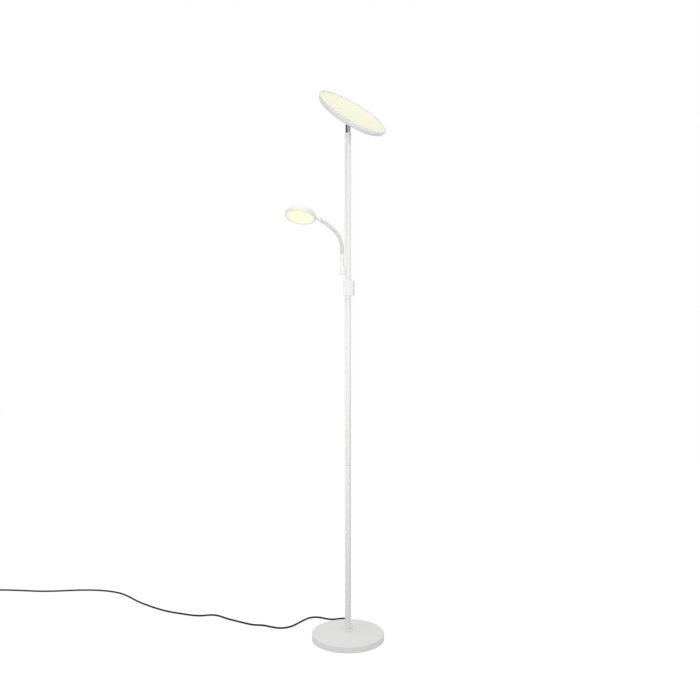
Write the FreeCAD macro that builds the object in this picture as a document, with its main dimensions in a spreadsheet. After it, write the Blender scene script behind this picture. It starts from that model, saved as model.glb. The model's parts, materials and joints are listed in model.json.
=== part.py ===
"""Torchiere floor lamp with a flexible reading light, in millimetres.

+Z is up and the origin is the middle of the base's underside, on the floor. The pole stands on +Z,
the reading arm leaves it towards -X, and the mains lead leaves the back of the base, towards +Y.
"""
import FreeCAD
import Part
import math
import os
import types
import Sketcher

Vector = FreeCAD.Vector

# ---- driving dimensions -------------------------------------------------------------------------
# Each value is kept in the document's spreadsheet under its own name. Lengths are millimetres,
# angles are degrees.

DIMENSIONS = {
    # clearances
    "seat_gap": 0.02,  # between a piece and the hole that it is pressed or screwed into
    "running_gap": 0.05,  # between a turning spindle and its bore
    "loose_gap": 0.3,  # round a piece that passes through a clearance hole
    # base
    "base_radius": 117.5,
    "base_rim_height": 22.0,
    "base_dome_rise": 6.5,
    "base_seat_radius": 19.0,  # flat middle of the cover, under the collar
    "base_rim_round": 4.0,
    "cover_wall": 1.2,
    "pad_thickness": 1.5,
    "pad_inset": 4.5,  # of its edge from the cover's outside
    "plate_thickness": 1.5,
    "plate_clearance": 0.8,  # to the cover's wall
    "plate_screw_inset": 30.0,  # from the casting's edge
    "plate_screw_radius": 2.0,
    "plate_screw_length": 9.0,
    "plate_screw_head": 3.8,
    "weight_clearance": 2.3,  # to the cover's wall
    "weight_edge": 5.0,
    "weight_gap": 0.5,
    "weight_recess_radius": 20.0,
    "weight_web": 6.0,
    "channel_width": 9.0,
    # pole and the threaded tube that holds it to the base
    "pole_radius": 10.0,
    "pole_wall": 1.4,
    "pole_section_length": 537.8,
    "stud_radius": 6.0,
    "stud_bore": 3.2,
    "stud_reach": 17.0,  # up into the pole
    "stud_tail": 1.2,  # past the nut
    "nut_height": 4.6,
    "nut_corner_radius": 11.0,
    "washer_height": 1.2,
    "washer_radius": 14.0,
    "foot_bush_height": 15.0,
    "collar_radius": 17.0,
    "collar_height": 5.0,
    "collar_round": 1.6,
    "coupler_length": 60.0,
    "cap_radius": 10.9,
    "cap_height": 4.5,
    "cap_spigot_length": 18.0,
    # mains lead inside the lamp, and its strain relief
    "inner_lead_radius": 2.5,
    "inner_lead_bend": 6.5,
    "gland_height": 9.0,
    "gland_neck_radius": 4.0,
    "gland_flange_radius": 5.6,
    "gland_flange": 1.4,
    "gland_length": 21.0,
    "gland_tip_radius": 3.8,
    "cord_radius": 3.0,
    # swivelling stem of the uplight
    "stem_radius": 9.0,
    "stem_edge": 1.5,
    "spigot_radius": 5.0,
    "spigot_bore": 2.5,
    "swivel_washer_height": 0.6,
    "swivel_nut_radius": 7.6,
    "swivel_nut_height": 5.0,
    "swivel_nut_play": 0.1,
    "pivot_rise": 38.6,  # above the top of the pole's cap
    "pivot_drop": 9.0,  # from the pivot down to the stem's shoulder
    "tongue_thickness": 7.0,
    "tongue_radius": 6.0,
    # tilting joint
    "head_azimuth": -44.6,
    "head_tilt": 42.5,
    "bolt_radius": 2.5,
    "bolt_head_radius": 4.5,
    "bolt_head_height": 2.6,
    "bolt_nut_height": 3.5,
    "bolt_tail": 0.8,
    "hex_socket_radius": 1.7,
    "friction_washer_height": 0.6,
    "friction_washer_radius": 5.6,
    "ear_thickness": 3.0,
    "ear_radius": 7.0,
    "bracket_thickness": 2.0,
    "bracket_half_length": 17.0,
    "bracket_half_width": 10.0,
    "bracket_play": 0.3,  # between the bracket's plate and the tongue's round top
    "bracket_screw_offset": 13.0,
    "small_screw_radius": 1.5,
    "small_screw_head": 2.8,
    "small_screw_head_height": 1.2,
    "small_screw_length": 5.0,
    # uplight head
    "dish_radius": 122.6,
    "dish_depth": 29.4,
    "dish_floor_radius": 70.0,
    "dish_floor_round": 12.0,
    "dish_slope_rise": 10.4,  # from the floor up to where the side would meet it unrounded
    "dish_round": 20.0,
    "dish_wall": 1.2,
    "dish_cable_hole": 4.0,
    "ring_width": 2.6,
    "ring_height": 3.0,
    "ring_recess": 0.5,
    "ring_gap": 0.5,
    "diffuser_thickness": 2.2,
    "diffuser_edge_gap": 0.7,
    "heat_plate_radius": 88.0,
    "heat_plate_thickness": 1.5,
    "heat_plate_height": 12.0,  # of its underside above the dish's floor
    "heat_post_radius": 4.0,
    "heat_post_circle": 62.0,
    "board_radius": 84.0,
    "board_thickness": 1.6,
    "chip_size": 5.0,
    "chip_height": 0.8,
    "chip_circle_inner": 36.0,
    "chip_circle_outer": 66.0,
    "driver_length": 56.0,
    "driver_width": 38.0,
    "driver_height": 10.5,
    "driver_offset": 35.0,
    # dimmer housing on the pole
    "dimmer_rise": 38.9,  # its middle above the pole's upper joint
    "dimmer_half_height": 26.0,
    "dimmer_left": 15.0,
    "dimmer_right": 18.0,
    "dimmer_depth": 17.0,  # in front of the pole's axis, and behind it
    "dimmer_round": 4.5,
    "dimmer_wall": 1.8,
    "dimmer_board_thickness": 1.2,
    "dimmer_board_gap": 0.8,
    "dimmer_screw_offset": 12.6,
    "dimmer_screw_height": 18.0,
    "dimmer_screw_radius": 1.2,
    "dimmer_screw_head": 2.1,
    "control_spacing": 12.2,  # of each knob from the housing's middle
    "control_radius": 7.0,
    "control_depth": 4.0,
    "spindle_radius": 3.0,
    "spindle_entry": 3.2,  # into the control
    "knob_radius": 10.0,
    "knob_thickness": 3.8,
    "knob_edge": 0.8,
    "knob_mark_width": 1.2,
    "knob_mark_depth": 0.6,
    # reading arm
    "arm_offset": 19.3,
    "arm_radius": 6.25,
    "arm_bore": 4.2,
    "arm_foot_rise": 53.0,  # above the middle of the dimmer
    "arm_tube_length": 57.0,
    "hose_start_length": 15.0,
    "hose_low_radius": 90.0,
    "hose_low_angle": 24.0,
    "hose_middle_angle": 24.0,
    "hose_upper_radius": 260.0,
    "hose_upper_angle": 12.5,
    "arm_bracket_wall": 2.05,
    "arm_bracket_height": 24.0,
    "arm_bracket_floor": 8.0,
    "arm_screw_radius": 2.0,
    "arm_screw_head": 3.7,
    "arm_screw_head_height": 2.6,
    "arm_screw_rise": 3.8,  # from the bracket's underside
    "arm_lead_hole": 2.4,
    "arm_lead_rise": 16.0,
    # neck of the reading head
    "ferrule_length": 8.0,
    "ferrule_gap": 0.15,  # round the hose, which curves a little inside it
    "ferrule_wall": 0.75,
    "elbow_reach": 3.0,  # from the hose's end to the middle of the elbow
    "neck_length": 8.0,  # from the middle of the elbow to the head's rim
    "neck_radius": 4.6,
    "neck_play": 0.4,
    "neck_pin_radius": 2.2,
    "neck_pin_length": 10.5,  # inside the head's rim
    "neck_drop": 3.2,  # of the neck's axis below the head's middle plane
    "clip_radius": 2.8,
    "clip_thickness": 0.8,
    # reading head
    "reading_pitch": -8.5,
    "reading_roll": 17.5,
    "reading_radius": 50.0,
    "reading_thickness": 17.0,
    "reading_round": 4.0,
    "reading_wall": 1.5,
    "reading_boss_radius": 2.8,
    "reading_boss_depth": 8.6,
    "bezel_width": 4.4,
    "bezel_height": 1.5,
    "bezel_upstand": 0.9,
    "reading_diffuser_thickness": 0.9,
    "reading_board_radius": 36.0,
    "reading_board_height": -0.6,
    "reading_post_radius": 12.0,
    "reading_chip_circle": 24.0,
    "reading_chip_size": 4.0,
    # coil and plug at the lead's far end
    "coil_radius": 33.0,
    "coil_pitch": 6.6,
    "coil_lift": 0.9,  # for the tie that passes under the turns
    "coil_exit": 20.0,
    "coil_drop_length": 26.0,
    "tie_width": 9.0,
    "tie_thickness": 0.6,
    "tie_slack": 0.55,
    "plug_half_height": 7.0,
    "plug_rise": 0.2,
    "plug_relief_length": 22.0,
    "plug_relief_tip": 3.9,
    "plug_back_half_width": 8.0,
    "plug_front_half_width": 17.0,
    "plug_length": 35.0,
    "plug_face_length": 5.0,
    "pin_radius": 2.0,
    "pin_length": 19.0,
    "pin_spacing": 18.6,
    "pin_root": 4.0,  # thinner, held in the plug
    "pin_root_radius": 1.6,
}


def text(value):
    """The formula of a size, or a plain number written out."""
    return value.formula if isinstance(value, Size) else repr(float(value))


def number(value):
    """The value of a size, or a plain number."""
    return value.value if isinstance(value, Size) else float(value)


class Size:
    """A value worked out from the spreadsheet, with the formula that the document keeps for it."""

    def __init__(self, value, formula):
        self.value = value
        self.formula = formula

    def __add__(self, other):
        return Size(self.value + number(other), f"({self.formula} + {text(other)})")

    def __sub__(self, other):
        return Size(self.value - number(other), f"({self.formula} - {text(other)})")

    def __rsub__(self, other):
        return Size(number(other) - self.value, f"({text(other)} - {self.formula})")

    def __rtruediv__(self, other):
        return Size(number(other) / self.value, f"({text(other)} / {self.formula})")

    def __mul__(self, other):
        return Size(self.value * number(other), f"({self.formula} * {text(other)})")

    def __truediv__(self, other):
        return Size(self.value / number(other), f"({self.formula} / {text(other)})")

    def __neg__(self):
        return Size(-self.value, f"(-{self.formula})")

    __radd__ = __add__
    __rmul__ = __mul__


def cosine(angle):
    """The cosine of an angle in degrees."""
    return Size(math.cos(math.radians(number(angle))), f"cos({text(angle)} * 1 deg)")


def sine(angle):
    """The sine of an angle in degrees."""
    return Size(math.sin(math.radians(number(angle))), f"sin({text(angle)} * 1 deg)")


doc = FreeCAD.newDocument("torchiere")
sheet = doc.addObject("Spreadsheet::Sheet", "Sizes")
for row, (alias, value) in enumerate(DIMENSIONS.items(), start=1):
    sheet.set(f"A{row}", alias)
    sheet.set(f"B{row}", repr(value))
    sheet.setAlias(f"B{row}", alias)
doc.recompute()
size = types.SimpleNamespace(
    **{alias: Size(value, f"Sizes.{alias}") for alias, value in DIMENSIONS.items()}
)

# ---- heights and places that several pieces share -----------------------------------------------

ZERO = Size(0.0, "0")
plate_bottom = size.pad_thickness
weight_bottom = plate_bottom + size.plate_thickness
cover_inside = size.base_radius - size.cover_wall
plate_radius = cover_inside - size.plate_clearance
weight_radius = cover_inside - size.weight_clearance
pad_radius = size.base_radius - size.pad_inset
plate_screw_circle = weight_radius - size.plate_screw_inset
base_top = size.base_rim_height + size.base_dome_rise
web_bottom = base_top - size.cover_wall - size.weight_web
nut_bottom = web_bottom - size.washer_height - size.nut_height
stud_bottom = nut_bottom - size.stud_tail
pole_bore = size.pole_radius - size.pole_wall
pole_joint_low = base_top + size.pole_section_length
pole_joint_high = pole_joint_low + size.pole_section_length
pole_top = pole_joint_high + size.pole_section_length
cap_top = pole_top + size.cap_height
pivot_height = cap_top + size.pivot_rise
dimmer_height = pole_joint_high + size.dimmer_rise
arm_foot_height = dimmer_height + size.arm_foot_rise
stem_bottom = cap_top + size.swivel_washer_height + size.running_gap
ear_inside = size.tongue_thickness / 2 + size.friction_washer_height + size.running_gap * 2
ear_outside = ear_inside + size.ear_thickness
bracket_bottom = size.tongue_radius + size.bracket_play
dish_bottom = bracket_bottom + size.bracket_thickness
dish_floor = dish_bottom + size.dish_wall
dish_rim = dish_bottom + size.dish_depth
ring_top = dish_rim - size.ring_recess
ring_bottom = ring_top - size.ring_height
ring_radius = size.dish_radius - size.dish_wall - size.ring_gap
board_bottom = dish_floor + size.heat_plate_height + size.heat_plate_thickness
arm_bracket_bottom = arm_foot_height - size.arm_bracket_floor
arm_bracket_radius = size.arm_radius + size.arm_bracket_wall
arm_screw_height = arm_bracket_bottom + size.arm_screw_rise
arm_lead_height = arm_bracket_bottom + size.arm_lead_rise
hose_foot = arm_foot_height + size.arm_tube_length
control_face = pole_bore + size.pole_wall + size.dimmer_board_gap + size.dimmer_board_thickness
control_front = control_face + size.control_depth
knob_back = size.dimmer_right + size.loose_gap
bezel_top = -(size.reading_thickness / 2) + size.bezel_height
gland_end = size.base_radius + size.gland_flange + size.gland_length

# ---- helpers ------------------------------------------------------------------------------------

nodes = {}


def keep(name, thing):
    """Names a finished sub-part."""
    thing.Label = name
    nodes[name] = thing
    return thing


def bind(thing, **sizes):
    """Sets properties of an object and ties them to the spreadsheet."""
    for name, value in sizes.items():
        setattr(thing, name, number(value))
        if isinstance(value, Size):
            thing.setExpression(name, value.formula)
    return thing


def place(thing, x=ZERO, y=ZERO, z=ZERO, turn=(ZERO, ZERO, ZERO), frame=None):
    """Puts an object at a point, turned by yaw, pitch and roll, in a frame that carries it."""
    yaw, pitch, roll = (text(angle) for angle in turn)
    formula = (
        f"placement(vector({text(x)}; {text(y)}; {text(z)}); rotation({yaw}; {pitch}; {roll}))"
    )
    if frame:
        formula = f"{frame} * {formula}"
    thing.setExpression("Placement", formula)
    return thing


def cylinder(radius, height, **where):
    """A plain cylinder that rises along its own +Z."""
    return place(bind(doc.addObject("Part::Cylinder"), Radius=radius, Height=height), **where)


def cone(radius, top_radius, height, **where):
    """A cone frustum that rises along its own +Z."""
    thing = doc.addObject("Part::Cone")
    return place(bind(thing, Radius1=radius, Radius2=top_radius, Height=height), **where)


def block(length, width, height, x=ZERO, y=ZERO, z=ZERO, frame=None):
    """A box with its low corner at a point."""
    thing = bind(doc.addObject("Part::Box"), Length=length, Width=width, Height=height)
    return place(thing, x=x, y=y, z=z, frame=frame)


def hexagon(corner_radius, height, **where):
    """A six-sided prism that rises along its own +Z."""
    thing = doc.addObject("Part::Prism")
    thing.Polygon = 6
    return place(bind(thing, Circumradius=corner_radius, Height=height), **where)


def ball(radius, **where):
    """A full sphere."""
    return place(bind(doc.addObject("Part::Sphere"), Radius=radius), **where)


def fused(*things):
    """Several solids as one object."""
    whole = doc.addObject("Part::MultiFuse")
    whole.Shapes = list(things)
    return whole


def cut(base, *tools):
    """A solid with others taken away from it."""
    result = doc.addObject("Part::Cut")
    result.Base = base
    result.Tool = fused(*tools) if len(tools) > 1 else tools[0]
    return result


ACROSS = (ZERO, Size(90.0, "90"), ZERO)  # turns a cylinder's axis to +X
BACKWARD = (ZERO, ZERO, Size(-90.0, "-90"))  # turns a cylinder's axis to +Y


def new_sketch(body, plane, offset=None):
    """An empty sketch on one of its body's own planes, or at an offset along that plane's normal."""
    sketch = body.newObject("Sketcher::SketchObject", "Sketch")
    support = next(item for item in body.Origin.OriginFeatures if item.Role == plane)
    sketch.AttachmentSupport = [(support, "")]
    sketch.MapMode = "FlatFace"
    if offset is not None:
        sketch.setExpression("AttachmentOffset.Base.z", text(offset))
    return sketch


def fix_point(sketch, shape, end, x, y):
    """Ties one end of a line, or a point, to its distances from the sketch's origin."""
    for kind, axis, value in (("DistanceX", -2, x), ("DistanceY", -1, y)):
        if abs(number(value)) < 1e-9:
            sketch.addConstraint(Sketcher.Constraint("PointOnObject", shape, end, axis))
        else:
            rule = Sketcher.Constraint(kind, -1, 1, shape, end, number(value))
            index = sketch.addConstraint(rule)
            if isinstance(value, Size):
                sketch.setExpression(f"Constraints[{index}]", value.formula)


def root(value):
    """The square root of a size."""
    return Size(math.sqrt(value.value), f"sqrt({value.formula})")


def direction_to(start, end):
    """The unit vector from one corner to another, as two sizes."""
    across = end[0] - start[0]
    up = end[1] - start[1]
    length = root(across * across + up * up)
    return across / length, up / length


def corner_cuts(corners, index):
    """Where a corner's rounding leaves its two sides; both are the corner itself if it is sharp."""
    corner = corners[index]
    if len(corner) < 3:
        return corner[:2], corner[:2]
    back = direction_to(corner, corners[index - 1])
    on = direction_to(corner, corners[(index + 1) % len(corners)])
    spread = back[0] * on[0] + back[1] * on[1]
    reach = corner[2] * root((1 + spread) / (1 - spread))
    start = (corner[0] + back[0] * reach, corner[1] + back[1] * reach)
    end = (corner[0] + on[0] * reach, corner[1] + on[1] * reach)
    return start, end


def rounding_arc(corner, start, end):
    """The arc that rounds a corner, counter-clockwise, and whether it runs from start to end."""
    point = Vector(number(corner[0]), number(corner[1]), 0)
    first = Vector(number(start[0]), number(start[1]), 0) - point
    last = Vector(number(end[0]), number(end[1]), 0) - point
    radius = number(corner[2])
    middle = point + (first + last).normalize() * (radius / math.sin(first.getAngle(last) / 2))
    forward = first.cross(last).z < 0
    low, high = (first, last) if forward else (last, first)
    low_arm = point + low - middle
    high_arm = point + high - middle
    circle = Part.Circle(middle, Vector(0, 0, 1), radius)
    low_angle = math.atan2(low_arm.y, low_arm.x)
    high_angle = math.atan2(high_arm.y, high_arm.x)
    return Part.ArcOfCircle(circle, low_angle, high_angle), forward


def draw_outline(sketch, corners):
    """A closed outline through corners (x, y), or (x, y, radius) where a corner is rounded."""
    cuts = [corner_cuts(corners, index) for index in range(len(corners))]
    sides = []
    for index, (_, leave) in enumerate(cuts):
        arrive = cuts[(index + 1) % len(corners)][0]
        start = Vector(number(leave[0]), number(leave[1]), 0)
        end = Vector(number(arrive[0]), number(arrive[1]), 0)
        sides.append(sketch.addGeometry(Part.LineSegment(start, end), False))
        fix_point(sketch, sides[-1], 1, *leave)
        if len(corners[(index + 1) % len(corners)]) > 2:
            fix_point(sketch, sides[-1], 2, *arrive)
    for index, corner in enumerate(corners):
        before = sides[index - 1]
        after = sides[index]
        if len(corner) < 3:
            sketch.addConstraint(Sketcher.Constraint("Coincident", before, 2, after, 1))
            continue
        start, end = cuts[index]
        arc, forward = rounding_arc(corner, start, end)
        bend = sketch.addGeometry(arc, False)
        first, last = (1, 2) if forward else (2, 1)
        sketch.addConstraint(Sketcher.Constraint("Coincident", before, 2, bend, first))
        sketch.addConstraint(Sketcher.Constraint("Coincident", bend, last, after, 1))
        rule = sketch.addConstraint(Sketcher.Constraint("Radius", bend, number(corner[2])))
        sketch.setExpression(f"Constraints[{rule}]", text(corner[2]))


def draw_circle(sketch, radius, x=ZERO, y=ZERO):
    """A circle held by its radius and its middle."""
    middle = Vector(number(x), number(y), 0)
    shape = sketch.addGeometry(Part.Circle(middle, Vector(0, 0, 1), number(radius)), False)
    fix_point(sketch, shape, 3, x, y)
    rule = sketch.addConstraint(Sketcher.Constraint("Radius", shape, number(radius)))
    sketch.setExpression(f"Constraints[{rule}]", text(radius))


def turned(corners, plane="XZ_Plane", axis="V_Axis"):
    """A body turned on a lathe: an outline of (distance from the axis, height along it)."""
    body = doc.addObject("PartDesign::Body")
    sketch = new_sketch(body, plane)
    draw_outline(sketch, corners)
    spin = body.newObject("PartDesign::Revolution", "Revolution")
    spin.Profile = sketch
    spin.ReferenceAxis = (sketch, [axis])
    spin.Angle = 360
    sketch.Visibility = False
    return body


def add_pad(body, sketch, length, middle=False):
    """Thickens a sketch, to one side of its plane or evenly to both."""
    pad = body.newObject("PartDesign::Pad", "Pad")
    pad.Profile = sketch
    pad.Midplane = middle
    return bind(pad, Length=length)


def tube(outer, inner, bottom, top):
    """A round tube on the pole's axis."""
    return turned([(inner, bottom), (outer, bottom), (outer, top), (inner, top)])


# ---- base ---------------------------------------------------------------------------------------


def make_base():
    """The weighted round foot: cover, casting, bottom plate and non-slip pad."""
    wall = size.cover_wall
    hole = size.stud_radius + size.loose_gap
    shell = turned(
        [
            (hole, base_top),
            (size.base_seat_radius, base_top),
            (size.base_radius, size.base_rim_height, size.base_rim_round),
            (size.base_radius, size.pad_thickness),
            (cover_inside, size.pad_thickness),
            (cover_inside, size.base_rim_height - wall, size.base_rim_round - wall),
            (size.base_seat_radius, base_top - wall),
            (hole, base_top - wall),
        ]
    )
    gland_hole = cylinder(
        size.gland_neck_radius + size.seat_gap,
        wall * 6,
        y=size.base_radius - wall * 4,
        z=size.gland_height,
        turn=BACKWARD,
    )
    keep("base_cover", cut(shell, gland_hole))

    casting = turned(
        [
            (size.weight_recess_radius, weight_bottom),
            (weight_radius, weight_bottom),
            (weight_radius, size.base_rim_height - wall - size.weight_edge),
            (weight_radius - size.weight_edge, size.base_rim_height - wall - size.weight_gap),
            (size.base_seat_radius, base_top - wall),
            (hole, base_top - wall),
            (hole, web_bottom),
            (size.weight_recess_radius, web_bottom),
        ]
    )
    channel = block(
        size.channel_width,
        weight_radius,
        size.gland_height + size.gland_flange_radius - weight_bottom + size.loose_gap,
        x=-(size.channel_width / 2),
        z=weight_bottom,
    )
    flange_pocket = cylinder(
        size.gland_flange_radius + size.loose_gap,
        weight_radius,
        y=size.base_radius - wall - size.gland_flange - size.loose_gap * 2,
        z=size.gland_height,
        turn=BACKWARD,
    )
    tapped = [
        cylinder(size.plate_screw_radius + size.seat_gap, size.plate_screw_length, **spot)
        for spot in plate_screw_spots(weight_bottom)
    ]
    keep("base_weight", cut(casting, channel, flange_pocket, *tapped))

    plate = turned(
        [
            (ZERO, plate_bottom),
            (plate_radius, plate_bottom),
            (plate_radius, weight_bottom),
            (ZERO, weight_bottom),
        ]
    )
    sinks = [
        cone(size.plate_screw_head, size.plate_screw_radius, size.plate_thickness, **spot)
        for spot in plate_screw_spots(plate_bottom)
    ]
    keep("base_plate", cut(plate, *sinks))
    screws = []
    for spot, shank_spot in zip(plate_screw_spots(plate_bottom), plate_screw_spots(weight_bottom)):
        head = cone(size.plate_screw_head, size.plate_screw_radius, size.plate_thickness, **spot)
        shank = cylinder(size.plate_screw_radius, size.plate_screw_length - 1, **shank_spot)
        screws += [head, shank]
    keep("plate_screws", fused(*screws))
    keep("base_pad", cylinder(pad_radius, size.pad_thickness))


def plate_screw_spots(height):
    """The three screw places under the base, at a height."""
    spots = []
    for step in range(3):
        angle = 30 + 120 * step
        spots.append(
            {
                "x": plate_screw_circle * cosine(angle),
                "y": plate_screw_circle * sine(angle),
                "z": height,
            }
        )
    return spots


# ---- pole ---------------------------------------------------------------------------------------


def make_pole():
    """Three tubes, their inner couplers, and the hollow stud that clamps them to the base."""
    press = pole_bore - size.seat_gap
    stud_top = base_top + size.stud_reach
    keep("pole_stud", tube(size.stud_radius, size.stud_bore, stud_bottom, stud_top))
    washer_bottom = nut_bottom + size.nut_height
    thread = size.stud_radius + size.seat_gap
    keep("stud_washer", tube(size.washer_radius, thread, washer_bottom, web_bottom))
    nut = hexagon(size.nut_corner_radius, size.nut_height, z=nut_bottom)
    keep("stud_nut", cut(nut, cylinder(thread, size.nut_height, z=nut_bottom)))
    keep("foot_bush", tube(press, thread, base_top, base_top + size.foot_bush_height))
    collar_bore = size.pole_radius + size.seat_gap
    collar_top = base_top + size.collar_height
    keep(
        "pole_collar",
        turned(
            [
                (collar_bore, base_top),
                (size.collar_radius, base_top),
                (size.collar_radius, collar_top, size.collar_round),
                (collar_bore, collar_top),
            ]
        ),
    )
    keep("pole_lower", tube(size.pole_radius, pole_bore, base_top, pole_joint_low))
    keep("pole_middle", tube(size.pole_radius, pole_bore, pole_joint_low, pole_joint_high))
    reach = size.coupler_length / 2
    for name, height in (("coupler_lower", pole_joint_low), ("coupler_upper", pole_joint_high)):
        keep(name, tube(press, size.stud_bore, height - reach, height + reach))
    upper = tube(size.pole_radius, pole_bore, pole_joint_high, pole_top)
    screw_hole = cylinder(
        size.arm_screw_radius + size.seat_gap,
        size.pole_radius,
        x=-size.pole_radius,
        z=arm_screw_height,
        turn=ACROSS,
    )
    lead_hole = cylinder(
        size.arm_lead_hole, size.pole_radius, x=-size.pole_radius, z=arm_lead_height, turn=ACROSS
    )
    board_hole = cylinder(
        size.arm_lead_hole, size.pole_radius, z=dimmer_height, turn=ACROSS
    )
    keep("pole_upper", cut(upper, screw_hole, lead_hole, board_hole))
    spigot_hole = size.spigot_radius + size.running_gap
    keep(
        "pole_cap",
        turned(
            [
                (spigot_hole, pole_top - size.cap_spigot_length),
                (press, pole_top - size.cap_spigot_length),
                (press, pole_top),
                (size.cap_radius, pole_top),
                (size.cap_radius, cap_top, size.cap_height / 5),
                (spigot_hole, cap_top),
            ]
        ),
    )
    washer_top = cap_top + size.swivel_washer_height
    washer_edge = size.stem_radius - size.loose_gap
    keep("swivel_washer", tube(washer_edge, spigot_hole, cap_top, washer_top))


# ---- mains lead inside the lamp -----------------------------------------------------------------


def make_inner_lead():
    """The moulded strain relief, and the lead from it through the base and up the pole."""
    flange_back = size.base_radius - size.cover_wall - size.gland_flange
    wall_outside = size.base_radius
    tip = size.gland_tip_radius
    root = size.gland_flange_radius
    gland = turned(
        [
            (ZERO, flange_back),
            (root, flange_back),
            (root, flange_back + size.gland_flange - size.seat_gap * 10),
            (size.gland_neck_radius, flange_back + size.gland_flange - size.seat_gap * 10),
            (size.gland_neck_radius, wall_outside + size.seat_gap),
            (root, wall_outside + size.seat_gap),
            (root, wall_outside + size.gland_flange),
            (tip, gland_end),
            (ZERO, gland_end),
        ]
    )
    keep("cord_gland", place(gland, z=size.gland_height, turn=BACKWARD))

    lead = doc.addObject("PartDesign::Body")
    ring = new_sketch(lead, "XY_Plane", size.gland_height + size.inner_lead_bend)
    draw_circle(ring, size.inner_lead_radius)
    add_pad(lead, ring, dimmer_height - size.gland_height - size.inner_lead_bend)
    bend_sketch = new_sketch(lead, "XY_Plane", size.gland_height + size.inner_lead_bend)
    draw_circle(bend_sketch, size.inner_lead_radius)
    axis = bend_sketch.addGeometry(
        Part.LineSegment(
            Vector(-10, number(size.inner_lead_bend), 0),
            Vector(10, number(size.inner_lead_bend), 0),
        ),
        True,
    )
    fix_point(bend_sketch, axis, 1, Size(-10.0, "-10"), size.inner_lead_bend)
    fix_point(bend_sketch, axis, 2, Size(10.0, "10"), size.inner_lead_bend)
    bend = lead.newObject("PartDesign::Revolution", "Bend")
    bend.Profile = bend_sketch
    bend.ReferenceAxis = (bend_sketch, ["Axis0"])
    bend.Angle = 90
    bend.Reversed = False
    run_sketch = new_sketch(lead, "XZ_Plane", -size.inner_lead_bend)
    draw_circle(run_sketch, size.inner_lead_radius, y=size.gland_height)
    run = add_pad(lead, run_sketch, flange_back - size.inner_lead_bend)
    run.Reversed = True
    keep("supply_lead", lead)


# ---- uplight: stem and tilting joint ------------------------------------------------------------

STEM_FRAME = (
    f"placement(vector(0; 0; {pivot_height.formula}); rotation(Sizes.head_azimuth; 0; 0))"
)
HEAD_FRAME = (
    f"placement(vector(0; 0; {pivot_height.formula}); "
    "rotation(Sizes.head_azimuth; Sizes.head_tilt; 0))"
)


def make_stem():
    """The chromed swivel stem with its tongue, and the nut that holds it in the pole's cap."""
    bush_bottom = pole_top - size.cap_spigot_length - pivot_height
    nut_top = bush_bottom - size.swivel_nut_play
    shoulder = -size.pivot_drop
    bottom = stem_bottom - pivot_height
    body = turned(
        [
            (size.spigot_bore, nut_top - size.swivel_nut_height),
            (size.spigot_radius, nut_top - size.swivel_nut_height),
            (size.spigot_radius, bottom),
            (size.stem_radius, bottom),
            (size.stem_radius, shoulder - size.stem_edge),
            (size.stem_radius - size.stem_edge, shoulder),
            (ZERO, shoulder),
            (ZERO, shoulder - size.stem_radius),
            (size.spigot_bore, shoulder - size.stem_radius),
        ]
    )
    half = size.tongue_thickness / 2
    tongue = block(
        size.tongue_radius * 2,
        size.tongue_thickness,
        size.pivot_drop + 1,
        x=-size.tongue_radius,
        y=-half,
        z=shoulder - 1,
    )
    round_top = cylinder(size.tongue_radius, size.tongue_thickness, y=-half, turn=BACKWARD)
    bore = cylinder(
        size.bolt_radius + size.running_gap, size.tongue_thickness * 2, y=-half * 2, turn=BACKWARD
    )
    exit_hole = cylinder(
        size.spigot_bore, size.stem_radius * 2, z=shoulder - size.stem_radius, turn=ACROSS
    )
    stem = cut(fused(body, tongue, round_top), bore, exit_hole)
    keep("swivel_stem", in_frame(stem, STEM_FRAME))
    nut = tube(
        size.swivel_nut_radius,
        size.spigot_radius + size.seat_gap,
        nut_top - size.swivel_nut_height,
        nut_top,
    )
    keep("swivel_nut", in_frame(nut, STEM_FRAME))


def in_frame(thing, frame):
    """Carries a finished object into a frame of the document."""
    thing.setExpression("Placement", frame)
    return thing


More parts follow.
